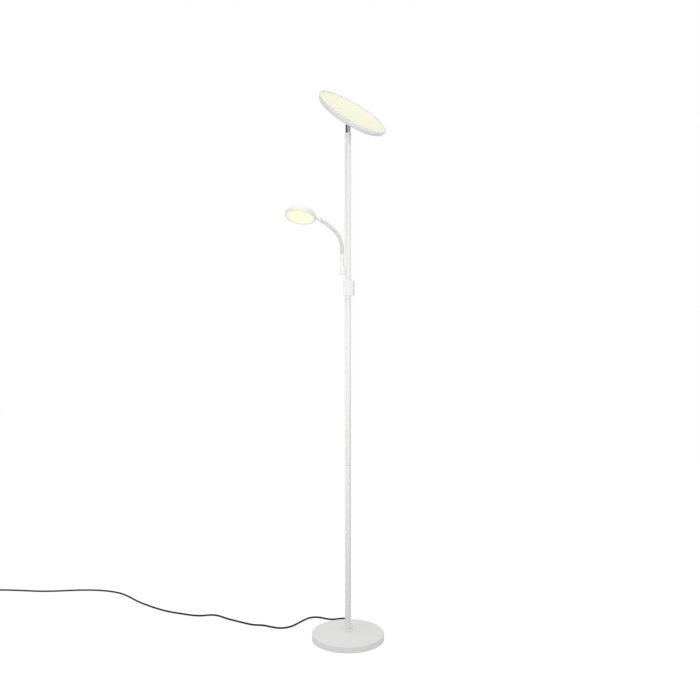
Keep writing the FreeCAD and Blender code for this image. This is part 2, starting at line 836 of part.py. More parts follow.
def make_tilt_joint():
    """The forked bracket under the head, with its bolt, nut and friction washers."""
    plate = block(
        size.bracket_half_width * 2,
        size.bracket_half_length * 2,
        size.bracket_thickness,
        x=-size.bracket_half_width,
        y=-size.bracket_half_length,
        z=bracket_bottom,
    )
    parts = [plate]
    holes = [
        cylinder(
            size.bolt_radius + size.seat_gap, ear_outside * 4, y=-ear_outside * 2, turn=BACKWARD
        ),
        cylinder(size.small_screw_radius * 2, size.bracket_thickness, z=bracket_bottom),
    ]
    for low in (ear_inside, -ear_outside):
        web = block(
            size.ear_radius * 2,
            size.ear_thickness,
            bracket_bottom,
            x=-size.ear_radius,
            y=low,
        )
        parts += [web, cylinder(size.ear_radius, size.ear_thickness, y=low, turn=BACKWARD)]
    screws = []
    for side in (-1, 1):
        y = size.bracket_screw_offset * side
        holes.append(
            cylinder(
                size.small_screw_radius + size.seat_gap,
                size.bracket_thickness,
                y=y,
                z=bracket_bottom,
            )
        )
        head_bottom = bracket_bottom - size.small_screw_head_height
        screws.append(cylinder(size.small_screw_head, size.small_screw_head_height, y=y, z=head_bottom))
        screws.append(cylinder(size.small_screw_radius, size.small_screw_length, y=y, z=bracket_bottom))
    keep("tilt_bracket", in_frame(cut(fused(*parts), *holes), HEAD_FRAME))
    keep("tilt_bracket_screws", in_frame(fused(*screws), HEAD_FRAME))

    shank_length = ear_outside * 2 + size.bolt_nut_height + size.bolt_tail
    shank = cylinder(size.bolt_radius, shank_length, y=-ear_outside, turn=BACKWARD)
    head_start = -ear_outside - size.bolt_head_height
    head = cylinder(size.bolt_head_radius, size.bolt_head_height, y=head_start, turn=BACKWARD)
    socket = hexagon(size.hex_socket_radius, size.bolt_head_height / 2, y=head_start, turn=BACKWARD)
    keep("tilt_bolt", in_frame(cut(fused(shank, head), socket), HEAD_FRAME))
    nut = hexagon(size.bolt_head_radius, size.bolt_nut_height, y=ear_outside, turn=BACKWARD)
    thread = cylinder(
        size.bolt_radius + size.seat_gap, size.bolt_nut_height, y=ear_outside, turn=BACKWARD
    )
    keep("tilt_nut", in_frame(cut(nut, thread), HEAD_FRAME))
    washers = []
    for side in (-1, 1):
        middle = (size.tongue_thickness / 2 + ear_inside) / 2 * side
        low = middle - size.friction_washer_height / 2
        disc = cylinder(size.friction_washer_radius, size.friction_washer_height, y=low, turn=BACKWARD)
        hole = cylinder(
            size.bolt_radius + size.running_gap, size.friction_washer_height, y=low, turn=BACKWARD
        )
        washers.append(cut(disc, hole))
    keep("friction_washers", in_frame(fused(*washers), HEAD_FRAME))


# ---- uplight: head ------------------------------------------------------------------------------


def make_uplight_head():
    """The dish, its floor sloping up to a short side, with all that it holds."""
    wall = size.dish_wall
    inside = size.dish_radius - wall
    slope = size.dish_slope_rise / (size.dish_radius - size.dish_floor_radius)
    stretch = root(1 + slope * slope)
    inner_floor_radius = size.dish_floor_radius - wall * (stretch - 1) / slope
    inner_rise = (inside - size.dish_floor_radius) * slope + wall * stretch
    dish = turned(
        [
            (size.dish_cable_hole, dish_bottom),
            (size.dish_floor_radius, dish_bottom, size.dish_floor_round),
            (size.dish_radius, dish_bottom + size.dish_slope_rise, size.dish_round),
            (size.dish_radius, dish_rim),
            (inside, dish_rim),
            (inside, dish_bottom + inner_rise, size.dish_round - wall),
            (inner_floor_radius, dish_floor, size.dish_floor_round - wall),
            (size.dish_cable_hole, dish_floor),
        ]
    )
    screw_holes = [
        cylinder(
            size.small_screw_radius + size.seat_gap,
            wall,
            y=size.bracket_screw_offset * side,
            z=dish_bottom,
        )
        for side in (-1, 1)
    ]
    keep("uplight_dish", in_frame(cut(dish, *screw_holes), HEAD_FRAME))

    skirt = size.ring_width / 4
    diffuser_bottom = ring_bottom - size.diffuser_thickness
    ring = turned(
        [
            (ring_radius - size.ring_width, ring_bottom),
            (ring_radius - skirt, ring_bottom),
            (ring_radius - skirt, diffuser_bottom),
            (ring_radius, diffuser_bottom),
            (ring_radius, ring_top),
            (ring_radius - size.ring_width, ring_top),
        ]
    )
    keep("uplight_ring", in_frame(ring, HEAD_FRAME))
    diffuser = turned(
        [
            (ZERO, diffuser_bottom),
            (ring_radius - skirt - size.diffuser_edge_gap, diffuser_bottom),
            (ring_radius - skirt - size.diffuser_edge_gap, ring_bottom),
            (ZERO, ring_bottom),
        ]
    )
    keep("uplight_diffuser", in_frame(diffuser, HEAD_FRAME))

    plate_low = dish_floor + size.heat_plate_height
    parts = [cylinder(size.heat_plate_radius, size.heat_plate_thickness, z=plate_low)]
    for step in range(3):
        angle = 120 * step
        parts.append(
            cylinder(
                size.heat_post_radius,
                size.heat_plate_height,
                x=size.heat_post_circle * cosine(angle),
                y=size.heat_post_circle * sine(angle),
                z=dish_floor,
            )
        )
    keep("heat_plate", in_frame(fused(*parts), HEAD_FRAME))

    board = doc.addObject("PartDesign::Body")
    disc = new_sketch(board, "XY_Plane", board_bottom)
    draw_circle(disc, size.board_radius)
    add_pad(board, disc, size.board_thickness)
    for circle, count in ((size.chip_circle_inner, 8), (size.chip_circle_outer, 16)):
        add_chips(board, circle, count, size.chip_size, board_bottom + size.board_thickness, False)
    keep("uplight_board", in_frame(board, HEAD_FRAME))

    driver = block(
        size.driver_length,
        size.driver_width,
        size.driver_height,
        x=-(size.driver_offset + size.driver_length / 2),
        y=-(size.driver_width / 2),
        z=dish_floor,
    )
    keep("uplight_driver", in_frame(fused(driver, driver_ears()), HEAD_FRAME))


def driver_ears():
    """The thin mounting tabs at both ends of the driver."""
    reach = size.driver_length + size.chip_size * 2
    return block(
        reach,
        size.driver_width / 3,
        size.dish_wall,
        x=-(size.driver_offset + reach / 2),
        y=-(size.driver_width / 6),
        z=dish_floor,
    )


def add_chips(board, circle, count, chip, height, downward):
    """A ring of square light chips on a board, as a pad repeated round its axis."""
    sketch = new_sketch(board, "XY_Plane", height)
    half = chip / 2
    draw_outline(
        sketch,
        [
            (circle - half, -half),
            (circle + half, -half),
            (circle + half, half),
            (circle - half, half),
        ],
    )
    pad = add_pad(board, sketch, size.chip_height)
    pad.Reversed = downward
    pattern = board.newObject("PartDesign::PolarPattern", "Chips")
    pattern.Originals = [pad]
    pattern.Axis = (sketch, ["N_Axis"])
    pattern.Angle = 360
    pattern.Occurrences = count
    board.Tip = pattern


# ---- dimmer -------------------------------------------------------------------------------------


def make_dimmer():
    """The two-part housing round the pole, its board, two rotary controls and their knobs."""
    bottom = dimmer_height - size.dimmer_half_height
    height = size.dimmer_half_height * 2
    wall = size.dimmer_wall
    pole_hole = size.pole_radius + size.seat_gap
    inner_left = size.pole_radius + size.dimmer_board_gap - size.loose_gap * 2
    for name, front in (("dimmer_front", -1), ("dimmer_back", 1)):
        half = doc.addObject("PartDesign::Body")
        sketch = new_sketch(half, "XY_Plane", bottom)
        draw_outline(
            sketch,
            [
                (-size.dimmer_left, ZERO),
                (size.dimmer_right, ZERO),
                (size.dimmer_right, size.dimmer_depth * front, size.dimmer_round),
                (-size.dimmer_left, size.dimmer_depth * front, size.dimmer_round),
            ],
        )
        add_pad(half, sketch, height)
        room = block(
            size.dimmer_right - wall - inner_left,
            size.dimmer_depth * 2 - wall * 2,
            height - wall * 2,
            x=inner_left,
            y=wall - size.dimmer_depth,
            z=bottom + wall,
        )
        tools = [cylinder(pole_hole, height, z=bottom), room]
        for side in (-1, 1):
            z = dimmer_height + size.control_spacing * side
            hole = size.spindle_radius + size.loose_gap
            tools.append(cylinder(hole, size.dimmer_right, x=control_face, z=z, turn=ACROSS))
            z = dimmer_height + size.dimmer_screw_height * side
            shank = size.dimmer_screw_radius + size.seat_gap
            spot = {"x": -size.dimmer_screw_offset, "z": z, "turn": BACKWARD}
            tools.append(cylinder(shank, size.dimmer_depth * 1.7, y=-(size.dimmer_depth * 0.7), **spot))
            sink = size.dimmer_screw_head + size.seat_gap
            tools.append(cylinder(sink, size.dimmer_depth, y=size.dimmer_depth * 0.6, **spot))
        keep(name, cut(half, *tools))
    screws = []
    for side in (-1, 1):
        z = dimmer_height + size.dimmer_screw_height * side
        spot = {"x": -size.dimmer_screw_offset, "z": z, "turn": BACKWARD}
        shank_length = size.dimmer_depth * 1.2
        screws.append(
            cylinder(size.dimmer_screw_radius, shank_length, y=-(size.dimmer_depth * 0.6), **spot)
        )
        screws.append(
            cylinder(size.dimmer_screw_head, size.dimmer_depth * 0.2, y=size.dimmer_depth * 0.6, **spot)
        )
    keep("dimmer_screws", fused(*screws))
    board_half_width = size.dimmer_depth - wall - size.loose_gap
    board_half_height = size.dimmer_half_height - wall - size.loose_gap
    keep(
        "dimmer_board",
        block(
            size.dimmer_board_thickness,
            board_half_width * 2,
            board_half_height * 2,
            x=size.pole_radius + size.dimmer_board_gap,
            y=-board_half_width,
            z=dimmer_height - board_half_height,
        ),
    )
    for name, side in (("uplight", 1), ("reading", -1)):
        z = dimmer_height + size.control_spacing * side
        can = cylinder(size.control_radius, size.control_depth, x=control_face, z=z, turn=ACROSS)
        bore = cylinder(
            size.spindle_radius + size.running_gap,
            size.control_depth,
            x=control_front - size.spindle_entry,
            z=z,
            turn=ACROSS,
        )
        keep(f"control_{name}", cut(can, bore))
        make_knob(f"knob_{name}", z)


def make_knob(name, height):
    """A flat round knob with its spindle and a pointer groove across its face."""
    spindle_end = control_front - size.spindle_entry + size.loose_gap
    face = knob_back + size.knob_thickness
    body = turned(
        [
            (ZERO, spindle_end),
            (size.spindle_radius, spindle_end),
            (size.spindle_radius, knob_back),
            (size.knob_radius, knob_back),
            (size.knob_radius, face, size.knob_edge),
            (ZERO, face),
        ]
    )
    groove = block(
        size.knob_radius - size.knob_mark_width,
        size.knob_mark_width,
        size.knob_mark_depth,
        x=size.knob_mark_width,
        y=-(size.knob_mark_width / 2),
        z=face - size.knob_mark_depth,
    )
    knob = cut(body, groove)
    place(knob, z=height, turn=ACROSS)
    keep(name, knob)


# ---- reading arm --------------------------------------------------------------------------------

low_end_x = -size.arm_offset - size.hose_low_radius * (1 - cosine(size.hose_low_angle))
low_end_z = (
    hose_foot + size.hose_start_length + size.hose_low_radius * sine(size.hose_low_angle)
)
middle_turn = size.hose_low_angle + size.hose_middle_angle
middle_end_x = -size.arm_offset - size.hose_low_radius * (1 - cosine(middle_turn))
middle_end_z = hose_foot + size.hose_start_length + size.hose_low_radius * sine(middle_turn)
upper_turn = middle_turn + size.hose_upper_angle
upper_end_x = middle_end_x + size.hose_upper_radius * (cosine(upper_turn) - cosine(middle_turn))
upper_end_z = middle_end_z + size.hose_upper_radius * (sine(upper_turn) - sine(middle_turn))
elbow_x = upper_end_x - size.elbow_reach * sine(upper_turn)
elbow_z = upper_end_z + size.elbow_reach * cosine(upper_turn)


def make_arm():
    """The bracket on the pole, the arm's straight foot and its three flexible lengths."""
    foot = doc.addObject("PartDesign::Body")
    sketch = new_sketch(foot, "XY_Plane", arm_bracket_bottom)
    half = arm_bracket_radius
    near = -(size.pole_radius - size.pole_wall)
    far = -size.arm_offset - half
    draw_outline(
        sketch,
        [(near, -half), (near, half), (far, half, half * 0.98), (far, -half, half * 0.98)],
    )
    add_pad(foot, sketch, size.arm_bracket_height)
    height = size.arm_bracket_height
    pole_hole = cylinder(size.pole_radius + size.seat_gap, height, z=arm_bracket_bottom)
    seat = cylinder(
        size.arm_radius + size.seat_gap, height, x=-size.arm_offset, z=arm_foot_height
    )
    through = cylinder(
        size.arm_screw_radius + size.seat_gap,
        size.arm_offset * 2,
        x=far,
        z=arm_screw_height,
        turn=ACROSS,
    )
    sink_depth = size.arm_screw_head_height + size.loose_gap
    sink = cylinder(
        size.arm_screw_head + size.seat_gap,
        sink_depth,
        x=far,
        z=arm_screw_height,
        turn=ACROSS,
    )
    lead_way = cylinder(
        size.arm_lead_hole, size.arm_offset, x=-size.arm_offset, z=arm_lead_height, turn=ACROSS
    )
    keep("arm_bracket", cut(foot, pole_hole, seat, through, sink, lead_way))
    head = cylinder(
        size.arm_screw_head,
        size.arm_screw_head_height,
        x=far + size.loose_gap,
        z=arm_screw_height,
        turn=ACROSS,
    )
    shank_start = far + sink_depth
    shank = cylinder(
        size.arm_screw_radius, -shank_start - pole_bore + 1, x=shank_start, z=arm_screw_height,
        turn=ACROSS,
    )
    keep("arm_bracket_screw", fused(head, shank))
    straight = tube(size.arm_radius, size.arm_bore, ZERO, size.arm_tube_length)
    side_hole = cylinder(
        size.arm_lead_hole, size.arm_offset, z=arm_lead_height - arm_foot_height, turn=ACROSS
    )
    arm_tube = cut(straight, side_hole)
    keep("arm_tube", place(arm_tube, x=-size.arm_offset, z=arm_foot_height))

    low = bent_hose(size.hose_low_radius, size.hose_low_angle, size.hose_start_length)
    foot_z = hose_foot + size.hose_start_length
    keep("hose_lower", place(low, x=-size.arm_offset, z=foot_z))
    middle = bent_hose(size.hose_low_radius, size.hose_middle_angle)
    turn = (ZERO, -size.hose_low_angle, ZERO)
    keep("hose_middle", place(middle, x=low_end_x, z=low_end_z, turn=turn))
    upper = bent_hose(size.hose_upper_radius, size.hose_upper_angle)
    turn = (ZERO, -middle_turn, ZERO)
    keep("hose_upper", place(upper, x=middle_end_x, z=middle_end_z, turn=turn))


def bent_hose(radius, angle, straight=None):
    """A length of flexible tube that leaves its own origin along +Z and bends towards -X."""
    body = doc.addObject("PartDesign::Body")
    if straight is not None:
        ring = new_sketch(body, "XY_Plane")
        draw_circle(ring, size.arm_radius)
        draw_circle(ring, size.arm_bore)
        add_pad(body, ring, straight).Reversed = True
    section = new_sketch(body, "XY_Plane")
    draw_circle(section, size.arm_radius)
    draw_circle(section, size.arm_bore)
    reach = -number(radius)
    axis = section.addGeometry(Part.LineSegment(Vector(reach, -20, 0), Vector(reach, 20, 0)), True)
    fix_point(section, axis, 1, -radius, Size(-20.0, "-20"))
    fix_point(section, axis, 2, -radius, Size(20.0, "20"))
    bend = body.newObject("PartDesign::Revolution", "Bend")
    bend.Profile = section
    bend.ReferenceAxis = (section, ["Axis0"])
    bind(bend, Angle=angle)
    bend.Reversed = True
    return body


# ---- neck and reading head ----------------------------------------------------------------------

NECK_FRAME = (
    f"placement(vector({elbow_x.formula}; 0; {elbow_z.formula}); "
    "rotation(180; Sizes.reading_pitch; Sizes.reading_roll))"
)
READING_FRAME = (
    f"{NECK_FRAME} * placement(vector(Sizes.neck_length + Sizes.reading_radius; 0; "
    "Sizes.neck_drop); rotation(0; 0; 0))"
)


def make_neck():
    """The elbow on the hose's end, with the pin that the head turns on, and its clip."""
    back = (ZERO, 180 - upper_turn, ZERO)
    ferrule = cylinder(
        size.arm_radius + size.ferrule_wall,
        size.ferrule_length + size.elbow_reach,
        x=elbow_x,
        z=elbow_z,
        turn=back,
    )
    knuckle = ball(size.arm_radius + size.ferrule_wall, x=elbow_x, z=elbow_z)
    hose_room = cylinder(
        size.arm_radius + size.ferrule_gap,
        size.ferrule_length + size.elbow_reach,
        x=upper_end_x,
        z=upper_end_z,
        turn=back,
    )
    pin_length = size.neck_length + size.neck_pin_length
    pin = cylinder(size.neck_pin_radius, pin_length, turn=ACROSS, frame=NECK_FRAME)
    collar = cylinder(
        size.neck_radius, size.neck_length - size.neck_play, turn=ACROSS, frame=NECK_FRAME
    )
    keep("neck_elbow", cut(fused(ferrule, knuckle, pin, collar), hose_room))
    clip_x = size.neck_length + size.reading_boss_depth + size.running_gap
    ring = cylinder(size.clip_radius, size.clip_thickness, x=clip_x, turn=ACROSS, frame=NECK_FRAME)
    hole = cylinder(
        size.neck_pin_radius + size.seat_gap,
        size.clip_thickness,
        x=clip_x,
        turn=ACROSS,
        frame=NECK_FRAME,
    )
    keep("neck_clip", cut(ring, hole))


def make_reading_head():
    """The round reading head: shell with its neck boss, bezel, diffuser and light board."""
    wall = size.reading_wall
    top = size.reading_thickness / 2
    inside = size.reading_radius - wall
    shell = turned(
        [
            (ZERO, top),
            (size.reading_radius, top, size.reading_round),
            (size.reading_radius, bezel_top),
            (inside, bezel_top),
            (inside, top - wall, size.reading_round - wall),
            (ZERO, top - wall),
        ]
    )
    board_low = size.reading_board_height
    board_top = board_low + size.board_thickness
    post = cylinder(size.reading_post_radius, top - wall / 2 - board_top, z=board_top)
    boss_spot = {"x": -size.reading_radius + wall / 2, "z": -size.neck_drop, "turn": ACROSS}
    boss = cylinder(size.reading_boss_radius, size.reading_boss_depth - wall / 2, **boss_spot)
    bore = cylinder(
        size.neck_pin_radius + size.running_gap,
        size.reading_boss_depth + wall * 2,
        x=-size.reading_radius - wall,
        z=-size.neck_drop,
        turn=ACROSS,
    )
    keep("reading_shell", in_frame(cut(fused(shell, post, boss), bore), READING_FRAME))

    bottom = -top
    rim_inside = inside - size.seat_gap * 5
    upstand_inside = rim_inside - wall
    bezel = turned(
        [
            (size.reading_radius - size.bezel_width, bottom),
            (size.reading_radius, bottom),
            (size.reading_radius, bezel_top),
            (rim_inside, bezel_top),
            (rim_inside, bezel_top + size.bezel_upstand),
            (upstand_inside, bezel_top + size.bezel_upstand),
            (upstand_inside, bezel_top),
            (size.reading_radius - size.bezel_width, bezel_top),
        ]
    )
    notch_half = size.reading_boss_radius + size.loose_gap
    notch = block(
        size.reading_radius,
        notch_half * 2,
        size.bezel_upstand,
        x=-size.reading_radius,
        y=-notch_half,
        z=bezel_top,
    )
    keep("reading_bezel", in_frame(cut(bezel, notch), READING_FRAME))
    glass = cylinder(
        upstand_inside - size.seat_gap * 5, size.reading_diffuser_thickness, z=bezel_top
    )
    keep("reading_diffuser", in_frame(fused(glass, light_guide_rim()), READING_FRAME))

    board = doc.addObject("PartDesign::Body")
    disc = new_sketch(board, "XY_Plane", board_low)
    draw_circle(disc, size.reading_board_radius)
    add_pad(board, disc, size.board_thickness)
    add_chips(board, size.reading_chip_circle, 9, size.reading_chip_size, board_low, True)
    keep("reading_board", in_frame(board, READING_FRAME))


def light_guide_rim():
    """The thin raised step that stiffens the back of the reading diffuser."""
    step = size.reading_wall
    return tube(
        size.reading_board_radius,
        size.reading_board_radius - step,
        bezel_top,
        bezel_top + size.reading_diffuser_thickness + step,
    )


# ---- free mains lead ----------------------------------------------------------------------------
# The route runs from the strain relief behind the base, along the floor. Its points are chosen by
# hand. The coil and the plug follow where the route ends.

CORD_POINTS = [
    (0, 149, 9),
    (-3, 159, 7),
    (-13, 169, 4.2),
    (-32, 169, 3),
    (-55, 161, 3),
    (-78, 169, 3),
    (-97, 181, 3),
    (-118, 185, 3),
    (-137, 177, 3),
    (-151, 160, 3),
    (-168, 134, 3),
    (-184, 107, 3),
    (-206, 87, 3),
    (-235, 82, 3),
    (-262, 95, 3),
    (-291, 110, 3),
    (-323, 111, 3),
    (-356, 129, 3),
    (-391, 150, 3),
    (-427, 172, 3),
    (-457, 199, 3),
    (-487, 207, 3),
    (-517, 196, 3),
    (-552, 201, 3),
    (-592, 217, 3),
    (-637, 234, 3),
    (-684, 261, 3),
    (-735, 300, 3),
    (-785, 342, 3),
    (-832, 394, 3),
    (-880, 437, 3),
    (-938, 462, 3),
    (-1002, 472, 3),
    (-1068, 470, 3),
    (-1134, 459, 3),
    (-1200, 456, 3),
    (-1262, 465, 3),
    (-1316, 470, 3.2),
    (-1360, 470, 3.9),
]
COIL_MIDDLE = Vector(-1402, 437, 0)
COIL_TURNS = 2


def cord_start():
    """The middle of the strain relief's end face."""
    return Vector(0, number(gland_end), number(size.gland_height))


def coil_point(turns):
    """The coil's centreline: in by one turn and out by one, climbing a layer as it reverses."""
    radius = number(size.coil_radius) - number(size.coil_pitch) * (1 - abs(turns - 1))
    climb = min(1.0, max(0.0, (turns - 0.75) / 0.5))
    rise = climb * climb * (3 - 2 * climb) * number(size.coil_pitch)
    angle = math.pi / 2 + 2 * math.pi * turns
    low = number(size.cord_radius) + number(size.coil_lift)
    return COIL_MIDDLE + Vector(radius * math.cos(angle), radius * math.sin(angle), low + rise)


def coil_direction(turns):
    """The direction of the coil's centreline, level where the coil starts and ends."""
    if turns <= 0 or turns >= COIL_TURNS:
        return Vector(-1, 0, 0)
    step = 0.001
    return (coil_point(turns + step) - coil_point(turns - step)).normalize()


def tangent_arc(start, direction, end):
    """The edge from start to end that leaves along a direction: an arc, or a line if straight."""
    chord = end - start
    along = Vector(chord).normalize()
    side = direction - along * direction.dot(along)
    if side.Length < 1e-6:
        return Part.LineSegment(start, end).toShape()
    bulge = chord.Length / 2 * math.tan(direction.getAngle(chord) / 2)
    middle = start + chord / 2 + side.normalize() * bulge
    return Part.Arc(start, middle, end).toShape()


def biarc(start, leaving, end, arriving):
    """Two arcs that join two points with the given directions."""
    gap = end - start
    both = leaving + arriving
    spread = 2 * (1 - leaving.dot(arriving))
    along = gap.dot(both)
    if spread < 1e-9:
        reach = gap.dot(gap) / (2 * along)
    else:
        reach = (math.sqrt(along * along + spread * gap.dot(gap)) - along) / spread
    knee = (start + leaving * reach + end - arriving * reach) / 2
    turn = (knee - start).normalize()
    middle_direction = turn * (2 * turn.dot(leaving)) - leaving
    return [tangent_arc(start, leaving, knee), tangent_arc(knee, middle_direction, end)]


def rounded_route(points):
    """Straight runs joined by tangent arcs, each as large as its two runs allow."""
    edges = []
    radii = []
    at = points[0]
    for before, corner, after in zip(points, points[1:], points[2:]):
        coming = (corner - before).normalize()
        going = (after - corner).normalize()
        reach = 0.45 * min((corner - before).Length, (after - corner).Length)
        half = coming.getAngle(going) / 2
        radius = reach / math.tan(half)
        middle = corner + (going - coming).normalize() * (radius / math.cos(half) - radius)
        edges.append(Part.LineSegment(at, corner - coming * reach).toShape())
        arc = Part.Arc(corner - coming * reach, middle, corner + going * reach)
        edges.append(arc.toShape())
        at = corner + going * reach
        radii.append(radius)
    edges.append(Part.LineSegment(at, points[-1]).toShape())
    return edges, radii


def swept_tube(edges, start, direction, radius):
    """A round solid along joined edges, checked against its section times its length."""
    path = Part.Wire(edges)
    ring = Part.Wire([Part.Circle(start, direction, radius).toShape()])
    solid = path.makePipeShell([ring], True, False)
    expected = math.pi * radius * radius * path.Length
    print(f"swept tube: length {path.Length:.1f}, volume off by {solid.Volume / expected - 1:.2%}")
    return solid


def feature(name, shape):
    """A sub-part whose shape is worked out here."""
    thing = doc.addObject("Part::Feature")
    thing.Shape = shape
    return keep(name, thing)


def coil_gap():
    """The least gap between turns, measured on points along the centreline."""
    steps = [coil_point(step / 60) for step in range(60 * COIL_TURNS + 1)]
    least = min(
        first.distanceToPoint(second)
        for index, first in enumerate(steps)
        for second in steps[index + 30 :]
    )
    return least - 2 * number(size.cord_radius)


def make_cord():
    """The lead on the floor, its coil, the tie round the coil, and the plug."""
    radius = number(size.cord_radius)
    entry = coil_point(0) + Vector(2 * radius, 0, 0)
    points = [cord_start()] + [Vector(*point) for point in CORD_POINTS] + [entry]
    edges, radii = rounded_route(points)
    print("cord radii", " ".join(f"{value:.0f}" for value in radii))
    feature("cord_run", swept_tube(edges, points[0], points[1] - points[0], radius))

    turns = [step / 4 for step in range(4 * COIL_TURNS + 1)]
    edges = [Part.LineSegment(entry, coil_point(0)).toShape()]
    for start, end in zip(turns, turns[1:]):
        edges += biarc(
            coil_point(start), coil_direction(start), coil_point(end), coil_direction(end)
        )
    left = Vector(-1, 0, 0)
    leave = coil_point(COIL_TURNS) + left * number(size.coil_exit)
    edges.append(Part.LineSegment(coil_point(COIL_TURNS), leave).toShape())
    landing = plug_entry() - left * 2 * radius
    edges += biarc(leave, left, landing, left)
    edges.append(Part.LineSegment(landing, plug_entry()).toShape())
    feature("cord_coil", swept_tube(edges, entry, left, radius))
    print(f"least gap between turns {coil_gap():.2f}")
    make_tie()
    make_plug()


def plug_entry():
    """Where the coil's tail meets the plug's strain relief."""
    away = number(size.coil_exit) + number(size.coil_drop_length) + 2 * number(size.cord_radius)
    point = coil_point(COIL_TURNS) - Vector(away, 0, 0)
    return Vector(point.x, point.y, number(size.plug_half_height) + number(size.plug_rise))


def make_tie():
    """The flat strap round the coil's strands, opposite the place where the lead arrives."""
    low_strand = coil_point(0.5)
    high_strand = coil_point(1.5)
    clearance = 2 * number(size.running_gap)
    thickness = number(size.tie_thickness)
    reach = number(size.cord_radius) + number(size.tie_slack)
    bottom = low_strand.z - number(size.cord_radius) - clearance
    height = high_strand.z + number(size.cord_radius) + clearance - bottom
    width = number(size.tie_width)
    corner = Vector(low_strand.x - width / 2, low_strand.y - reach, bottom)
    hole = Part.makeBox(width, 2 * reach, height, corner)
    rim = Vector(0, thickness, thickness)
    outside = Part.makeBox(width, 2 * (reach + thickness), height + 2 * thickness, corner - rim)
    feature("cord_tie", outside.cut(hole))


def make_plug():
    """The flat moulded plug with its tapered strain relief, and its two round pins."""
    entry = plug_entry()
    spot = FreeCAD.Placement(entry, FreeCAD.Rotation(Vector(0, 0, 1), 180))
    body = doc.addObject("PartDesign::Body")
    stations = [
        (ZERO, size.plug_relief_tip, size.plug_relief_tip),
        (size.plug_relief_length, size.plug_relief_tip * 1.3, size.plug_relief_tip * 1.3),
        (size.plug_relief_length + 1, size.plug_back_half_width, size.plug_half_height * 0.9),
        (
            size.plug_relief_length + size.plug_length - size.plug_face_length,
            size.plug_front_half_width,
            size.plug_half_height,
        ),
        (
            size.plug_relief_length + size.plug_length,
            size.plug_front_half_width,
            size.plug_half_height,
        ),
    ]
    sketches = []
    for distance, half_width, half_height in stations:
        sketch = new_sketch(body, "YZ_Plane", distance)
        bevel = half_height * 0.45
        draw_outline(
            sketch,
            [
                (-half_width, -half_height, bevel),
                (half_width, -half_height, bevel),
                (half_width, half_height, bevel),
                (-half_width, half_height, bevel),
            ],
        )
        sketches.append(sketch)
    loft = body.newObject("PartDesign::AdditiveLoft", "Loft")
    loft.Profile = sketches[0]
    loft.Sections = sketches[1:]
    loft.Ruled = True
    face = size.plug_relief_length + size.plug_length
    sockets = []
    pins = []
    for side in (-1, 1):
        y = size.pin_spacing / 2 * side
        start = face - size.pin_root
        sockets.append(
            cylinder(size.pin_root_radius + size.seat_gap, size.pin_root, x=start, y=y, turn=ACROSS)
        )
        pins.append(cylinder(size.pin_root_radius, size.pin_root, x=start, y=y, turn=ACROSS))
        pins.append(cylinder(size.pin_radius, size.pin_length, x=face, y=y, turn=ACROSS))
    plug = cut(body, *sockets)
    plug.Placement = spot
    keep("plug_body", plug)
    pair = fused(*pins)
    pair.Placement = spot
    keep("plug_pins", pair)


# ---- the whole lamp -----------------------------------------------------------------------------

make_base()
make_pole()
make_inner_lead()
make_stem()
make_tilt_joint()
make_uplight_head()
make_dimmer()
make_arm()
make_neck()
make_reading_head()
make_cord()
doc.recompute()

for item in doc.Objects:
    if "Invalid" in item.State or "Error" in item.State:
        raise RuntimeError(f"{item.Label} failed: {item.getStatusString()}")
for name, thing in nodes.items():
    if thing.Shape.isNull() or not thing.Shape.isValid() or not thing.Shape.Solids:
        raise RuntimeError(f"{name} has no valid solid")

os.makedirs("parts", exist_ok=True)
for name, thing in nodes.items():
    thing.Shape.exportStep(f"parts/{name}.step")
print(f"{len(nodes)} sub-parts written")
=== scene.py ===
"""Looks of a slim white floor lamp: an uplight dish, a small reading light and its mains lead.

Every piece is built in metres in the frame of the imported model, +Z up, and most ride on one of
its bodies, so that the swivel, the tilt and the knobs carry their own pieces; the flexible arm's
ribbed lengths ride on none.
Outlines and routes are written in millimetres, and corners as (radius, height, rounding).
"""

import json
import math

import bmesh
import bpy
from bpy.props import FloatProperty, FloatVectorProperty, IntProperty, PointerProperty
from mathutils import Matrix, Vector


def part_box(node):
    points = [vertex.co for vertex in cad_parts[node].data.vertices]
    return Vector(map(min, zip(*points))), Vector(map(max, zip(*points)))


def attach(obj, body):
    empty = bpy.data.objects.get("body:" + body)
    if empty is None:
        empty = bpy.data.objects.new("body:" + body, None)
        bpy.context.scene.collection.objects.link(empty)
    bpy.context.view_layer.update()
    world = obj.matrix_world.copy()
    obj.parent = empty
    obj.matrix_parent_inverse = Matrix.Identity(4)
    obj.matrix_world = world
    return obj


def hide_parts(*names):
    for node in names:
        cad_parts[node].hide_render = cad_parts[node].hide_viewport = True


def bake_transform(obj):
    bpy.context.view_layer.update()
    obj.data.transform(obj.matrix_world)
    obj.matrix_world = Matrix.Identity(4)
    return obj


bl_info = {
    "name": "Torchiere floor lamp",
    "version": (1, 0, 0),
    "blender": (4, 5, 0),
    "location": "3D View > Sidebar > Torchiere",
    "description": "Builds a floor lamp with an uplight dish, a reading light and its lead",
    "category": "Object",
}

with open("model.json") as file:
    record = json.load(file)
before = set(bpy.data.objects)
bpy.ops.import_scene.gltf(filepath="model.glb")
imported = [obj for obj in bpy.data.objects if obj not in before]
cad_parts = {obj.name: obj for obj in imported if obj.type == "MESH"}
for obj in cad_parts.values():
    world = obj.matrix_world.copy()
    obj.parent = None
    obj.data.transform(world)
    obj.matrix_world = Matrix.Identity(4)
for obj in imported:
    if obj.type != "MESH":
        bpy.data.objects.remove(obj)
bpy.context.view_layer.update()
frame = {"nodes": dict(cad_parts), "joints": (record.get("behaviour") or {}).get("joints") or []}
JOINTS = {joint["name"]: joint for joint in frame["joints"]}
MM = 0.001
FINISHES = {}
SHARED = {}

# ---- settings ----


